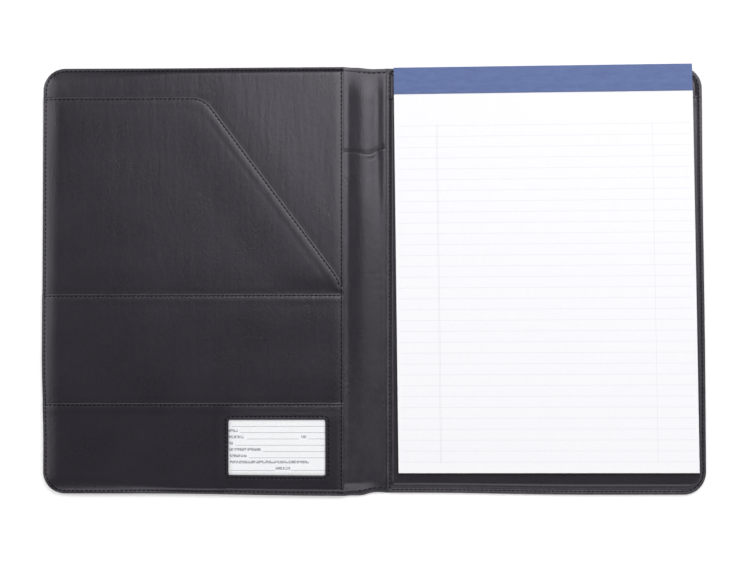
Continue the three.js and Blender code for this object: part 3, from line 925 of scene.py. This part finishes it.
# The pad
BACKING = box_of("pad_backing")
SHEETS = box_of("pad_sheets")
PAPER_THICKNESS = 5.0
PAD_LENGTH = (BACKING[1].y - BACKING[0].y - PAD_WIDTH * sin(PAD_TURN)) / cos(PAD_TURN)
ON_POCKET = SHEETS[1].z - PAPER_THICKNESS
ON_BACKING = SHEETS[0].z
PAD_BEND_START = PAD_MOUTH - PAD_Y + PAD_WIDTH / 2 * sin(PAD_TURN) + 0.6
PAD_BEND_END = PAD_LENGTH / 2 - 11.4
BAND_DEPTH = 19.4
BAND_THICKNESS = 0.3
GLUE_GAP = 0.05
SHEET_LAYERS = 16
SHEET_SEED = 7
SHEET_SHIFT = (-0.14, 0.02)
TAPE_ROUNDING = 0.7

# Print on the pad, measured from its middle
RULE_PITCH = 7.848
FIRST_RULE = -PAD_LENGTH / 2 + 8
RULES = 32
MARGIN_RULES = (-PAD_WIDTH / 2 + 30.2, -PAD_WIDTH / 2 + 31.1, PAD_WIDTH / 2 - 29.5)


def on_cover(points):
    """Turns points of the pad into their place on the cover, cut square to the cover at its foot."""
    points = np.asarray(points, float)
    to_foot = np.clip(0.5 - points[:, 1] / PAD_LENGTH, 0, 1)
    x = PAD_X + points[:, 0] * cos(PAD_TURN) - points[:, 1] * sin(PAD_TURN)
    y = PAD_Y + points[:, 0] * sin(PAD_TURN) * (1 - to_foot) + points[:, 1] * cos(PAD_TURN)
    return np.column_stack([x, y, points[:, 2]])


def pad_underside(v):
    """The height of the lowest sheet, which comes down from the pocket onto the pad's board."""
    share = smooth((v - PAD_BEND_START) / (PAD_BEND_END - PAD_BEND_START))
    return ON_POCKET + (ON_BACKING - ON_POCKET) * share


def sheets_top(u, v):
    """The upper face of the top sheet, not quite flat."""
    edge = np.minimum(PAD_WIDTH / 2 - np.abs(u), PAD_LENGTH / 2 - np.abs(v))
    return pad_underside(v) + PAPER_THICKNESS + 0.1 * unevenness(u, v, 70, 90, 2.2) * smooth(edge / 30)


def paper_finish():
    """White paper with faint ruling and margins, read from the pad's own flat map."""
    finish = Finish("ruled_paper")
    u, v = finish.on_pad()
    rows = finish.maths("DIVIDE", finish.maths("SUBTRACT", v, FIRST_RULE * MM), RULE_PITCH * MM)
    nearest = finish.maths("ROUND", rows)
    line = finish.spread(finish.gap(rows, nearest), 0.013, 0.022, 1.0, 0.0)
    line = finish.times(line, finish.between(nearest, -0.5, RULES - 0.5))
    inside = finish.maths("LESS_THAN", finish.maths("ABSOLUTE", u), (PAD_WIDTH / 2 - 2) * MM)
    line = finish.times(line, inside)
    from_margins = [finish.gap(u, place * MM) for place in MARGIN_RULES]
    margins = finish.largest([finish.spread(away, 0.0001, 0.0002, 1.0, 0.0) for away in from_margins])
    margins = finish.times(margins, finish.between(rows, -0.1, RULES - 0.9))
    fibre = finish.spread(finish.noise(700, 4.0, 0.7), 0.3, 0.7)
    clean = finish.blend(fibre, (0.862, 0.859, 0.882, 1), (0.892, 0.889, 0.907, 1))
    ruled = finish.blend(line, clean, (0.74, 0.74, 0.8, 1))
    finish.set(Base_Color=finish.blend(finish.times(margins, 0.6), ruled, (0.7, 0.62, 0.68, 1)))
    finish.set(Roughness=0.7, Specular_IOR_Level=0.25)
    finish.set(Normal=finish.bump(finish.noise(1600, 4.0, 0.6), 0.00002, 0.35))
    return finish.material


def page_edge_finish():
    """The cut edges of the sheets, in fine lines."""
    finish = Finish("sheet_edges")
    thin = finish.stretched((25, 25, 5200))
    lines = finish.spread(finish.noise(1.0, 3.0, 0.65, thin), 0.35, 0.62)
    finish.set(Base_Color=finish.blend(lines, (0.62, 0.61, 0.62, 1), (0.92, 0.915, 0.93, 1)))
    finish.set(Roughness=0.85, Specular_IOR_Level=0.2)
    finish.set(Normal=finish.bump(lines, 0.00008, 0.6))
    return finish.material


def tape_finish():
    """Blue paper tape with a darker line along its free edge."""
    finish = Finish("binding_tape")
    v = finish.on_pad()[1]
    fibre = finish.spread(finish.noise(1.0, 5.0, 0.7, finish.stretched((110, 420, 420))), 0.3, 0.7)
    blue = finish.blend(fibre, (0.082, 0.123, 0.29, 1), (0.112, 0.162, 0.352, 1))
    inward = finish.maths("SUBTRACT", v, (PAD_LENGTH / 2 - BAND_DEPTH) * MM)
    near_edge = finish.spread(inward, 0.0004, 0.0012, 1.0, 0.0)
    finish.set(Base_Color=finish.blend(near_edge, blue, (0.085, 0.12, 0.27, 1)))
    finish.set(Roughness=0.55, Specular_IOR_Level=0.35)
    finish.set(Normal=finish.bump(finish.noise(1500, 3.0), 0.00003, 0.4))
    return finish.material


def flat_map(piece, flat):
    """Gives a piece a map of places on the flat pad, in metres, from one place for each vertex."""
    layer = piece.data.uv_layers.new(name="pad")
    corners = np.zeros(len(piece.data.loops), np.int32)
    piece.data.loops.foreach_get("vertex_index", corners)
    places = np.asarray(flat)[corners] * MM
    layer.data.foreach_set("uv", places.astype(np.float32).ravel())


def make_backing():
    """The pad's board, turned with its sheets and slid into the pocket."""
    close = (0, 0.1, 1.0)
    us = fine_stations(-PAD_WIDTH / 2 + 0.3, PAD_WIDTH / 2 - 0.3, 20.0, close)
    vs = fine_stations(-PAD_LENGTH / 2 + 0.3, PAD_LENGTH / 2, 20.0, close)
    upper = on_cover([(u, v, BACKING[1].z) for u in us for v in vs])
    lower = on_cover([(u, v, BACKING[0].z) for u in us for v in vs])
    board = two_sided("pad_board", upper, lower, quads(len(us), len(vs)), [BOARD], crease_angle=30)
    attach(board, "back_cover")
    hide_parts("pad_backing")


def grid_border(wide, tall):
    """The outermost points of a grid stored by columns, once round from its first point."""
    border = [i * tall for i in range(wide - 1)]
    border += [(wide - 1) * tall + j for j in range(tall - 1)]
    border += [i * tall + tall - 1 for i in range(wide - 1, 0, -1)]
    return border + list(range(tall - 1, 0, -1))


def make_sheets():
    """The pad's sheets as one block, with the edges of its sheets slightly uneven."""
    close = (0, 0.15, 0.4, 1.0, 2.5)
    us = fine_stations(-PAD_WIDTH / 2, PAD_WIDTH / 2, 6.0, close)
    vs = fine_stations(-PAD_LENGTH / 2, PAD_LENGTH / 2, 4.0, close)
    wide, tall = len(us), len(vs)
    grid = np.array([(u, v) for u in us for v in vs])
    u, v = grid[:, 0], grid[:, 1]
    top = np.column_stack([grid, sheets_top(u, v)])
    under = np.column_stack([grid, pad_underside(v)])
    border = grid_border(wide, tall)
    count = wide * tall
    faces = quads(wide, tall)
    faces += [tuple(i + count for i in reversed(face)) for face in faces]
    side_start = len(faces)
    rim = top[border]
    low = under[border]
    at_side = np.abs(rim) > (PAD_WIDTH / 2 - 0.01, PAD_LENGTH / 2 - 0.01, FAR)
    outward = np.sign(rim) * at_side
    points = [top, under]
    rings = [border]
    jitter = np.random.default_rng(SHEET_SEED)
    for layer in range(1, SHEET_LAYERS):
        start = 2 * count + (layer - 1) * len(border)
        rings.append(list(range(start, start + len(border))))
        points.append(rim + (low - rim) * layer / SHEET_LAYERS + outward * jitter.uniform(*SHEET_SHIFT))
    rings.append([index + count for index in border])
    for upper, lower in zip(rings, rings[1:]):
        faces += [(a, b, c, d) for a, b, c, d in zip(upper, lower, shifted(lower), shifted(upper))]
    local = np.vstack(points)
    finishes = [paper_finish(), page_edge_finish()]
    sheets = mesh_piece("pad_sheet_block", on_cover(local), faces, finishes, crease_angle=30)
    for polygon in sheets.data.polygons[side_start:]:
        polygon.material_index = 1
    flat_map(sheets, local[:, :2])
    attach(sheets, "back_cover")
    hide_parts("pad_sheets")


def tape_path():
    """The tape's outer face in the upright plane, from its free edge over the head to under the board."""
    free_edge = PAD_LENGTH / 2 - BAND_DEPTH
    over_edge = GLUE_GAP + BAND_THICKNESS
    head = PAD_LENGTH / 2 + over_edge
    bend = head - TAPE_ROUNDING
    vs = [free_edge, free_edge + 0.3, *np.linspace(free_edge + 1.5, bend, 12)]
    path = [(v, float(pad_underside(v)) + PAPER_THICKNESS + over_edge) for v in vs]
    high = path[-1][1] - TAPE_ROUNDING
    low = BACKING[0].z - over_edge + TAPE_ROUNDING
    angles = [i / 5 * pi / 2 for i in range(6)]
    path += [(bend + TAPE_ROUNDING * sin(a), high + TAPE_ROUNDING * cos(a)) for a in angles[1:]]
    path += [(head, high + (low - high) * share) for share in np.linspace(0.2, 0.8, 4)]
    path += [(bend + TAPE_ROUNDING * cos(a), low - TAPE_ROUNDING * sin(a)) for a in angles]
    path += [(v, low - TAPE_ROUNDING) for v in np.linspace(head - 2, free_edge, 8)]
    return np.array(path)


def make_binding():
    """The binding tape round the head of the pad."""
    path = tape_path()
    ahead = np.gradient(path, axis=0)
    ahead /= np.linalg.norm(ahead, axis=1)[:, None]
    inward = np.column_stack([ahead[:, 1], -ahead[:, 0]])
    inner = path + inward * BAND_THICKNESS
    us = fine_stations(-PAD_WIDTH / 2, PAD_WIDTH / 2, 8.0, (0, 0.3, 1.0))
    outer_points, inner_points, flat = [], [], []
    for u in us:
        for (v, z), (inner_v, inner_z) in zip(path, inner):
            ripple = 0.03 * noise.noise(Vector((u / 12, v / 9, 4.4)))
            outer_points.append((u, v, z + ripple))
            inner_points.append((u, inner_v, inner_z))
            flat.append((u, v))
    outer, inner = on_cover(outer_points), on_cover(inner_points)
    faces = quads(len(us), len(path))
    band = two_sided("binding_band", outer, inner, faces, [tape_finish()], crease_angle=50)
    flat_map(band, flat + flat)
    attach(band, "back_cover")
    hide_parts("pad_binding")


def board_finish():
    """Plain grey-brown board of pressed fibres."""
    finish = Finish("grey_board")
    fibres = finish.spread(finish.noise(350, 5.0, 0.7), 0.3, 0.7)
    finish.set(Base_Color=finish.blend(fibres, (0.27, 0.22, 0.17, 1), (0.38, 0.32, 0.25, 1)))
    finish.set(Roughness=0.9)
    finish.set(Normal=finish.bump(finish.noise(1200, 4.0), 0.00008, 0.5))
    return finish.material


# Print on the card, below the window's top edge
CARD_ROW = 4.53
CARD_FIRST_RULE = 4.8
RULE_THICKNESS = 0.3
BAR_HEIGHT = 2.0
BAR_RISE = 1.5

# Row of each piece of print, with its start and end from the window's left edge
CARD_RULES = (
    (0, 2.3, 69.9),
    (1, 8.1, 69.9),
    (2, 13.2, 51.0),
    (2, 57.5, 69.9),
    (3, 4.4, 69.9),
    (4, 24.8, 69.9),
    (5, 14.6, 69.9),
    (7, 0.8, 33.5),
    (7, 45.2, 69.9),
)
CARD_BARS = (
    (1, 0.0, 6.6),
    (2, 0.0, 11.0),
    (2, 52.5, 56.0),
    (3, 0.0, 3.0),
    (4, 0.0, 23.4),
    (5, 0.8, 13.0),
    (6, 0.8, 58.0),
    (7, 34.0, 44.5),
)


def card_finish():
    """White card with thin rules, and grey bars in broken bits where its headings would be."""
    finish = Finish("printed_card")
    x, y = finish.split(finish.place)
    left = WINDOW_X - WINDOW_WIDTH / 2
    top = WINDOW_Y + WINDOW_HEIGHT / 2

    def strip(row, start, end, above, thickness):
        centre_x = (left + (start + end) / 2) * MM
        centre_y = (top - CARD_FIRST_RULE - row * CARD_ROW + above) * MM
        across = finish.maths("COMPARE", x, centre_x, (end - start) / 2 * MM)
        along = finish.maths("COMPARE", y, centre_y, thickness / 2 * MM)
        return finish.times(across, along)

    rules = finish.largest([strip(*place, 0, RULE_THICKNESS) for place in CARD_RULES])
    bars = finish.largest([strip(*place, BAR_RISE, BAR_HEIGHT) for place in CARD_BARS])
    spaced = finish.stretched((1100, 620, 300))
    broken = finish.spread(finish.noise(1.0, 2.0, 0.5, spaced), 0.4, 0.5)
    bars = finish.times(bars, finish.times(broken, 0.85))
    fibre = finish.spread(finish.noise(600, 4.0), 0.3, 0.7)
    white = finish.blend(fibre, (0.86, 0.86, 0.88, 1), (0.9, 0.9, 0.915, 1))
    ink = finish.maths("MAXIMUM", finish.times(rules, 0.9), bars)
    finish.set(Base_Color=finish.blend(ink, white, (0.2, 0.2, 0.23, 1)))
    finish.set(Roughness=0.6)
    return finish.material


def film_finish():
    """Clear film with a slight ripple."""
    finish = Finish("clear_film")
    finish.set(Base_Color=(0.9, 0.92, 0.94, 1), Roughness=0.12, Alpha=0.06)
    ripple = finish.noise(60, 2.0)
    finish.set(Normal=finish.bump(ripple, 0.0004, 0.4))
    finish.material.surface_render_method = "BLENDED"
    return finish.material


def dress_node(node, material):
    """A CAD node that keeps its shape gets a finish."""
    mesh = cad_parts[node].data
    mesh.materials.clear()
    mesh.materials.append(material)


def stitch_tree():
    """Repeats a short thread along every seam line."""
    tree = bpy.data.node_groups.new("sewn_stitches", "GeometryNodeTree")
    sockets = tree.interface
    sockets.new_socket("Geometry", in_out="INPUT", socket_type="NodeSocketGeometry")
    for name in ("Pitch", "Length", "Width", "Height", "Slant", "Unevenness"):
        sockets.new_socket(name, in_out="INPUT", socket_type="NodeSocketFloat")
    sockets.new_socket("Seed", in_out="INPUT", socket_type="NodeSocketInt")
    sockets.new_socket("Thread", in_out="INPUT", socket_type="NodeSocketMaterial")
    sockets.new_socket("Geometry", in_out="OUTPUT", socket_type="NodeSocketGeometry")

    def node(kind, inputs=None, **settings):
        return add_node(tree, kind, inputs, **settings)

    def maths(operation, first, second):
        return node("ShaderNodeMath", {0: first, 1: second}, operation=operation).outputs[0]

    given = node("NodeGroupInput").outputs
    lines = node("GeometryNodeMeshToCurve", {"Mesh": given["Geometry"]}).outputs["Curve"]
    along = node("GeometryNodeCurveToPoints", {"Curve": lines, "Length": given["Pitch"]}, mode="LENGTH")
    sizes = {"X": given["Length"], "Y": given["Width"], "Z": given["Height"]}
    halves = {axis: maths("MULTIPLY", size, 0.5) for axis, size in sizes.items()}
    shape = node("ShaderNodeCombineXYZ", halves).outputs["Vector"]
    ball = node("GeometryNodeMeshUVSphere", {"Segments": 8, "Rings": 6, "Radius": 1.0}).outputs["Mesh"]
    bead = node("GeometryNodeSetShadeSmooth", {"Geometry": ball}).outputs["Geometry"]
    random = node("FunctionNodeRandomValue", {"Seed": given["Seed"]}, data_type="FLOAT")
    # The random node has a pair of ends for each kind of value, and only the numbers are used
    numbers = [socket for socket in random.inputs if socket.type == "VALUE"]
    least, most = [socket for socket in numbers if socket.name in ("Min", "Max")]
    feed(tree, least, maths("MULTIPLY", given["Unevenness"], -1.0))
    feed(tree, most, given["Unevenness"])
    uneven = [socket for socket in random.outputs if socket.type == "VALUE"][0]
    facing = node("FunctionNodeAlignEulerToVector", {"Vector": along.outputs["Tangent"]}, axis="X")
    slanted = node("ShaderNodeCombineXYZ", {"Z": maths("ADD", given["Slant"], uneven)}).outputs["Vector"]
    turns = {"Rotation": slanted, "Rotate By": facing.outputs["Rotation"]}
    turned = node("FunctionNodeRotateEuler", turns).outputs["Rotation"]
    beads = {"Points": along.outputs["Points"], "Instance": bead, "Rotation": turned, "Scale": shape}
    placed = node("GeometryNodeInstanceOnPoints", beads).outputs["Instances"]
    real = node("GeometryNodeRealizeInstances", {"Geometry": placed}).outputs["Geometry"]
    threaded = node("GeometryNodeSetMaterial", {"Geometry": real, "Material": given["Thread"]})
    node("NodeGroupOutput", {"Geometry": threaded.outputs["Geometry"]})
    return tree


STITCHES = stitch_tree()


def sew(name, seams, body, seed):
    """Stitches along seam lines, given as lists of points, as one plain mesh."""
    points, edges = [], []
    for seam in seams:
        start = len(points)
        points += [tuple(point) for point in np.asarray(seam) * MM]
        edges += [(start + i, start + i + 1) for i in range(len(seam) - 1)]
    mesh = bpy.data.meshes.new(name + "_line")
    mesh.from_pydata(points, edges, [])
    line = add_object(name + "_line", mesh)
    modifier = line.modifiers.new("stitches", "NODES")
    modifier.node_group = STITCHES
    values = {
        "Pitch": PITCH * MM,
        "Length": STITCH_LENGTH * MM,
        "Width": STITCH_WIDTH * MM,
        "Height": STITCH_HEIGHT * MM,
        "Slant": STITCH_SLANT,
        "Unevenness": STITCH_UNEVENNESS,
        "Seed": seed,
        "Thread": THREAD,
    }
    for socket in STITCHES.interface.items_tree:
        if socket.in_out == "INPUT" and socket.name in values:
            modifier[socket.identifier] = values[socket.name]
    evaluated = line.evaluated_get(bpy.context.evaluated_depsgraph_get())
    sewn = bpy.data.meshes.new_from_object(evaluated)
    sewn.materials.clear()
    sewn.materials.append(THREAD)
    sewn.polygons.foreach_set("material_index", np.zeros(len(sewn.polygons), np.int32))
    bpy.data.objects.remove(line)
    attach(add_object(name, sewn), body)


def front_surface(x, y):
    """Top of whichever front panel is uppermost."""
    height = LINING_PLY.top(x, y)
    for ply in (DOCUMENT_PLY, MIDDLE_PLY, LOWER_PLY):
        height = np.where(ply.mouth_distance(x, y) > 0, ply.top(x, y), height)
    return height


def back_surface(x, y):
    """Top of whichever back panel is uppermost."""
    in_pocket = PAD_POCKET_PLY.mouth_distance(x, y) > 0
    return np.where(in_pocket, PAD_POCKET_PLY.top(x, y), BACK_LINING_PLY.top(x, y))


def outside_surface(x, y):
    """The level of the thread on the face that lies on the table."""
    return np.full_like(x, THREAD_LEVEL_OUTSIDE)


def arc_points(centre_x, centre_y, radius, start, end):
    """Places along an arc between two angles in degrees."""
    angles = np.radians(np.linspace(start, end, 16))
    return [(centre_x + radius * cos(a), centre_y + radius * sin(a)) for a in angles]


def on_surface(places, surface, lift=STITCH_LIFT):
    """Puts a line of places onto a leather surface, with a point for about each millimetre."""
    places = np.array(places, float)
    line = [places[:1]]
    for start, end in zip(places, places[1:]):
        steps = max(1, int(np.hypot(*(end - start))))
        line.append(start + (end - start) * np.arange(1, steps + 1)[:, None] / steps)
    line = np.vstack(line)
    return np.column_stack([settled(line), surface(line[:, 0], line[:, 1]) + lift])


def front_rim_seam():
    """Round the front cover, from the gutter at the tail over the fore edge to the gutter at the head."""
    half = FRONT.half - STITCH_INSET
    left = FRONT.left + STITCH_INSET
    radius = CORNER - STITCH_INSET
    spine_side = FRONT_EDGE - 1.0
    low_arc = arc_points(left + radius, -half + radius, radius, 270, 180)
    high_arc = arc_points(left + radius, half - radius, radius, 180, 90)
    return [(spine_side, -half), *low_arc, *high_arc, (spine_side, half)]


def back_rim_seam():
    """Round the back cover's panels."""
    half = BACK.half - STITCH_INSET
    left, right = BACK.left + STITCH_INSET, BACK.right - STITCH_INSET
    radius = CORNER - STITCH_INSET
    small = SPINE_SIDE_CORNER - STITCH_INSET
    return [
        (left, 0),
        *arc_points(left + small, -half + small, small, 180, 270),
        *arc_points(right - radius, -half + radius, radius, 270, 360),
        *arc_points(right - radius, half - radius, radius, 0, 90),
        *arc_points(left + small, half - small, small, 90, 180),
        (left, 0),
    ]


def mouth_seam(distance, left, right):
    """A line of stitches a little below a pocket's mouth."""
    xs = np.arange(left, right, 1.0)
    ys = mouth_height(lambda x, y: distance(x, y) - MOUTH_STITCH_INSET, xs)
    return list(zip(xs, ys))


def window_seam():
    """Round the window."""
    radius = WINDOW_RADIUS + WINDOW_STITCH_INSET
    return [
        *arc_points(WINDOW_X + CORE_X, WINDOW_Y + CORE_Y, radius, 0, 90),
        *arc_points(WINDOW_X - CORE_X, WINDOW_Y + CORE_Y, radius, 90, 180),
        *arc_points(WINDOW_X - CORE_X, WINDOW_Y - CORE_Y, radius, 180, 270),
        *arc_points(WINDOW_X + CORE_X, WINDOW_Y - CORE_Y, radius, 270, 360),
        (WINDOW_X + CORE_X + radius, WINDOW_Y + CORE_Y),
    ]


def outside_seam(side):
    """Round the outside of a cover, on the face that lies on the table."""
    inset = STITCH_INSET + PANEL_INSET
    half = HEAD - inset
    edge = side * (FORE_EDGE - inset)
    radius = CORNER - inset
    centre = edge - side * radius
    bend = half - radius
    corner = [(radius * sin(angle), radius * cos(angle)) for angle in np.linspace(0, pi / 2, 12)]
    places = [(side * OUTSIDE_SEAM_END, -half), (centre, -half)]
    places += [(centre + side * out, -bend - up) for out, up in corner]
    places += [(centre + side * out, bend + up) for out, up in reversed(corner)]
    return places + [(side * OUTSIDE_SEAM_END, half)]


def make_stitches():
    """Every seam, one piece of thread for each body, each with a seed of its own."""
    spine_seam = FRONT_EDGE - SPINE_SEAM_INSET
    ends = FRONT.half - STITCH_INSET
    front = [
        on_surface(front_rim_seam(), front_surface),
        on_surface([(spine_seam, -ends), (spine_seam, ends)], front_surface),
    ]
    for ply in (DOCUMENT_PLY, MIDDLE_PLY, LOWER_PLY):
        front.append(on_surface(mouth_seam(ply.mouth, FRONT.left + 3, FRONT_EDGE - 3.5), ply.top))
    front.append(on_surface(window_seam(), LOWER_PLY.top))
    front.append(on_surface(outside_seam(-1), outside_surface, 0))
    sew("front_cover_stitches", front, "front_cover", 11)
    back = [
        on_surface(back_rim_seam(), back_surface),
        on_surface(mouth_seam(PAD_POCKET_PLY.mouth, BACK.left + 3, BACK.right - 3), back_surface),
        on_surface(outside_seam(1), outside_surface, 0),
    ]
    sew("back_cover_stitches", back, "back_cover", 12)
    spine = []
    xs = np.arange(-9.0, 10.0, 1.0)
    for end, level in ((-1, pen_pocket_level), (1, gutter_level)):
        ys = end * (gutter_half_height(xs) - GUTTER_STITCH_INSET)
        line = on_surface(np.column_stack([xs, ys]), level)
        line[:, 2] -= GROOVE_DEPTH
        spine.append(line)
    sew("spine_stitches", spine, "spine", 13)


# Camera and light: places in metres, the focal length and the floor in millimetres
CAMERA_DISTANCE = 1.3
CAMERA_TARGET = Vector((0.0018, -0.001, 0))
CAMERA_TURN = (radians(2.0), radians(0.87), radians(-0.08))
FOCAL_LENGTH = 85.77
GLOW_ON_OBJECTS = 0.21
FLOOR_GLOW = 0.22
FLOOR_SIZE = 6000.0


def make_camera():
    """The camera looks straight down but for a slight tilt, as in the photograph."""
    data = bpy.data.cameras.new("camera")
    camera = add_object("camera", data)
    camera.rotation_euler = CAMERA_TURN
    camera.location = CAMERA_TARGET + camera.rotation_euler.to_matrix() @ Vector((0, 0, CAMERA_DISTANCE))
    data.sensor_fit = "HORIZONTAL"
    data.sensor_width = 36
    data.lens = FOCAL_LENGTH
    data.clip_start = 0.05
    data.clip_end = 50
    bpy.context.scene.camera = camera


def softbox(name, place, size_x, size_y, radiance, tilted=False):
    """A rectangular lamp that faces the portfolio, or else straight down."""
    data = bpy.data.lights.new(name, "AREA")
    data.shape = "RECTANGLE"
    data.size = size_x
    data.size_y = size_y
    data.energy = radiance * pi * size_x * size_y
    lamp = add_object(name, data)
    lamp.location = place
    if tilted:
        lamp.rotation_euler = Vector(place).to_track_quat("Z", "Y").to_euler()


def make_light():
    """Three softboxes in white surroundings, which the camera sees brighter than the objects do."""
    scene = bpy.context.scene
    scene.view_settings.view_transform = "Standard"
    world = bpy.data.worlds.new("white surroundings")
    world.use_nodes = True
    tree = world.node_tree
    camera_ray = add_node(tree, "ShaderNodeLightPath").outputs["Is Camera Ray"]
    glow = {"Value": camera_ray, "To Min": GLOW_ON_OBJECTS, "To Max": 1.0}
    background = tree.nodes["Background"]
    background.inputs["Color"].default_value = (1, 1, 1, 1)
    feed(tree, background.inputs["Strength"], add_node(tree, "ShaderNodeMapRange", glow).outputs["Result"])
    scene.world = world
    softbox("key_softbox", (0.56, 0.81, 1.6), 1.58, 1.264, 4.1)
    softbox("side_softbox", (-2.1, 0.55, 1.5), 1.6, 2.2, 2.4, tilted=True)
    softbox("front_softbox", (0.25, -1.5, 1.4), 2.2, 0.9, 2.2, tilted=True)


def make_floor():
    """A white floor that keeps a faint shadow."""
    finish = Finish("pale_floor")
    finish.set(Base_Color=(0.9, 0.9, 0.905, 1), Roughness=0.9)
    finish.set(Emission_Color=(1, 1, 1, 1))
    camera_ray = finish.node("ShaderNodeLightPath").outputs["Is Camera Ray"]
    finish.set(Emission_Strength=finish.times(camera_ray, FLOOR_GLOW))
    corners = [(x * FLOOR_SIZE, y * FLOOR_SIZE, 0) for x, y in ((-1, -1), (1, -1), (1, 1), (-1, 1))]
    floor = mesh_piece("floor", corners, [(0, 1, 2, 3)], [finish.material])


# Putting it together
make_camera()
make_light()
make_floor()
leather_panel(LINING_PLY, LINING, "front_cover", "front_lining")
leather_panel(DOCUMENT_PLY, LEATHER, "front_cover", "document_pocket")
leather_panel(MIDDLE_PLY, LEATHER, "front_cover", "middle_pocket")
window_pocket(LOWER_PLY, LEATHER)
leather_panel(BACK_LINING_PLY, LINING, "back_cover", "back_lining")
leather_panel(PAD_POCKET_PLY, LEATHER, "back_cover", "pad_pocket")
outer_skin("outer_leather_front", -1, ("front_leather", "spine_leather"))
outer_skin("outer_leather_back", 1, ("back_leather",))
gutter_strip(
    "gutter_lining_strip",
    GUTTER_LEFT,
    gutter_half_height,
    gutter_level,
    LINING,
    ("gutter_lining", "gutter_lining_front"),
)
gutter_strip(
    "pen_pocket_panel",
    FRONT_EDGE - 0.4,
    pen_mouth,
    pen_pocket_level,
    LEATHER,
    ("pen_pocket", "pen_pocket_front"),
    mouth=True,
)
BOARD = board_finish()
for board in ("front_board", "back_board"):
    dress_node(board, BOARD)
make_backing()
make_sheets()
make_binding()
dress_node("id_card", card_finish())
dress_node("window_film", film_finish())
make_stitches()
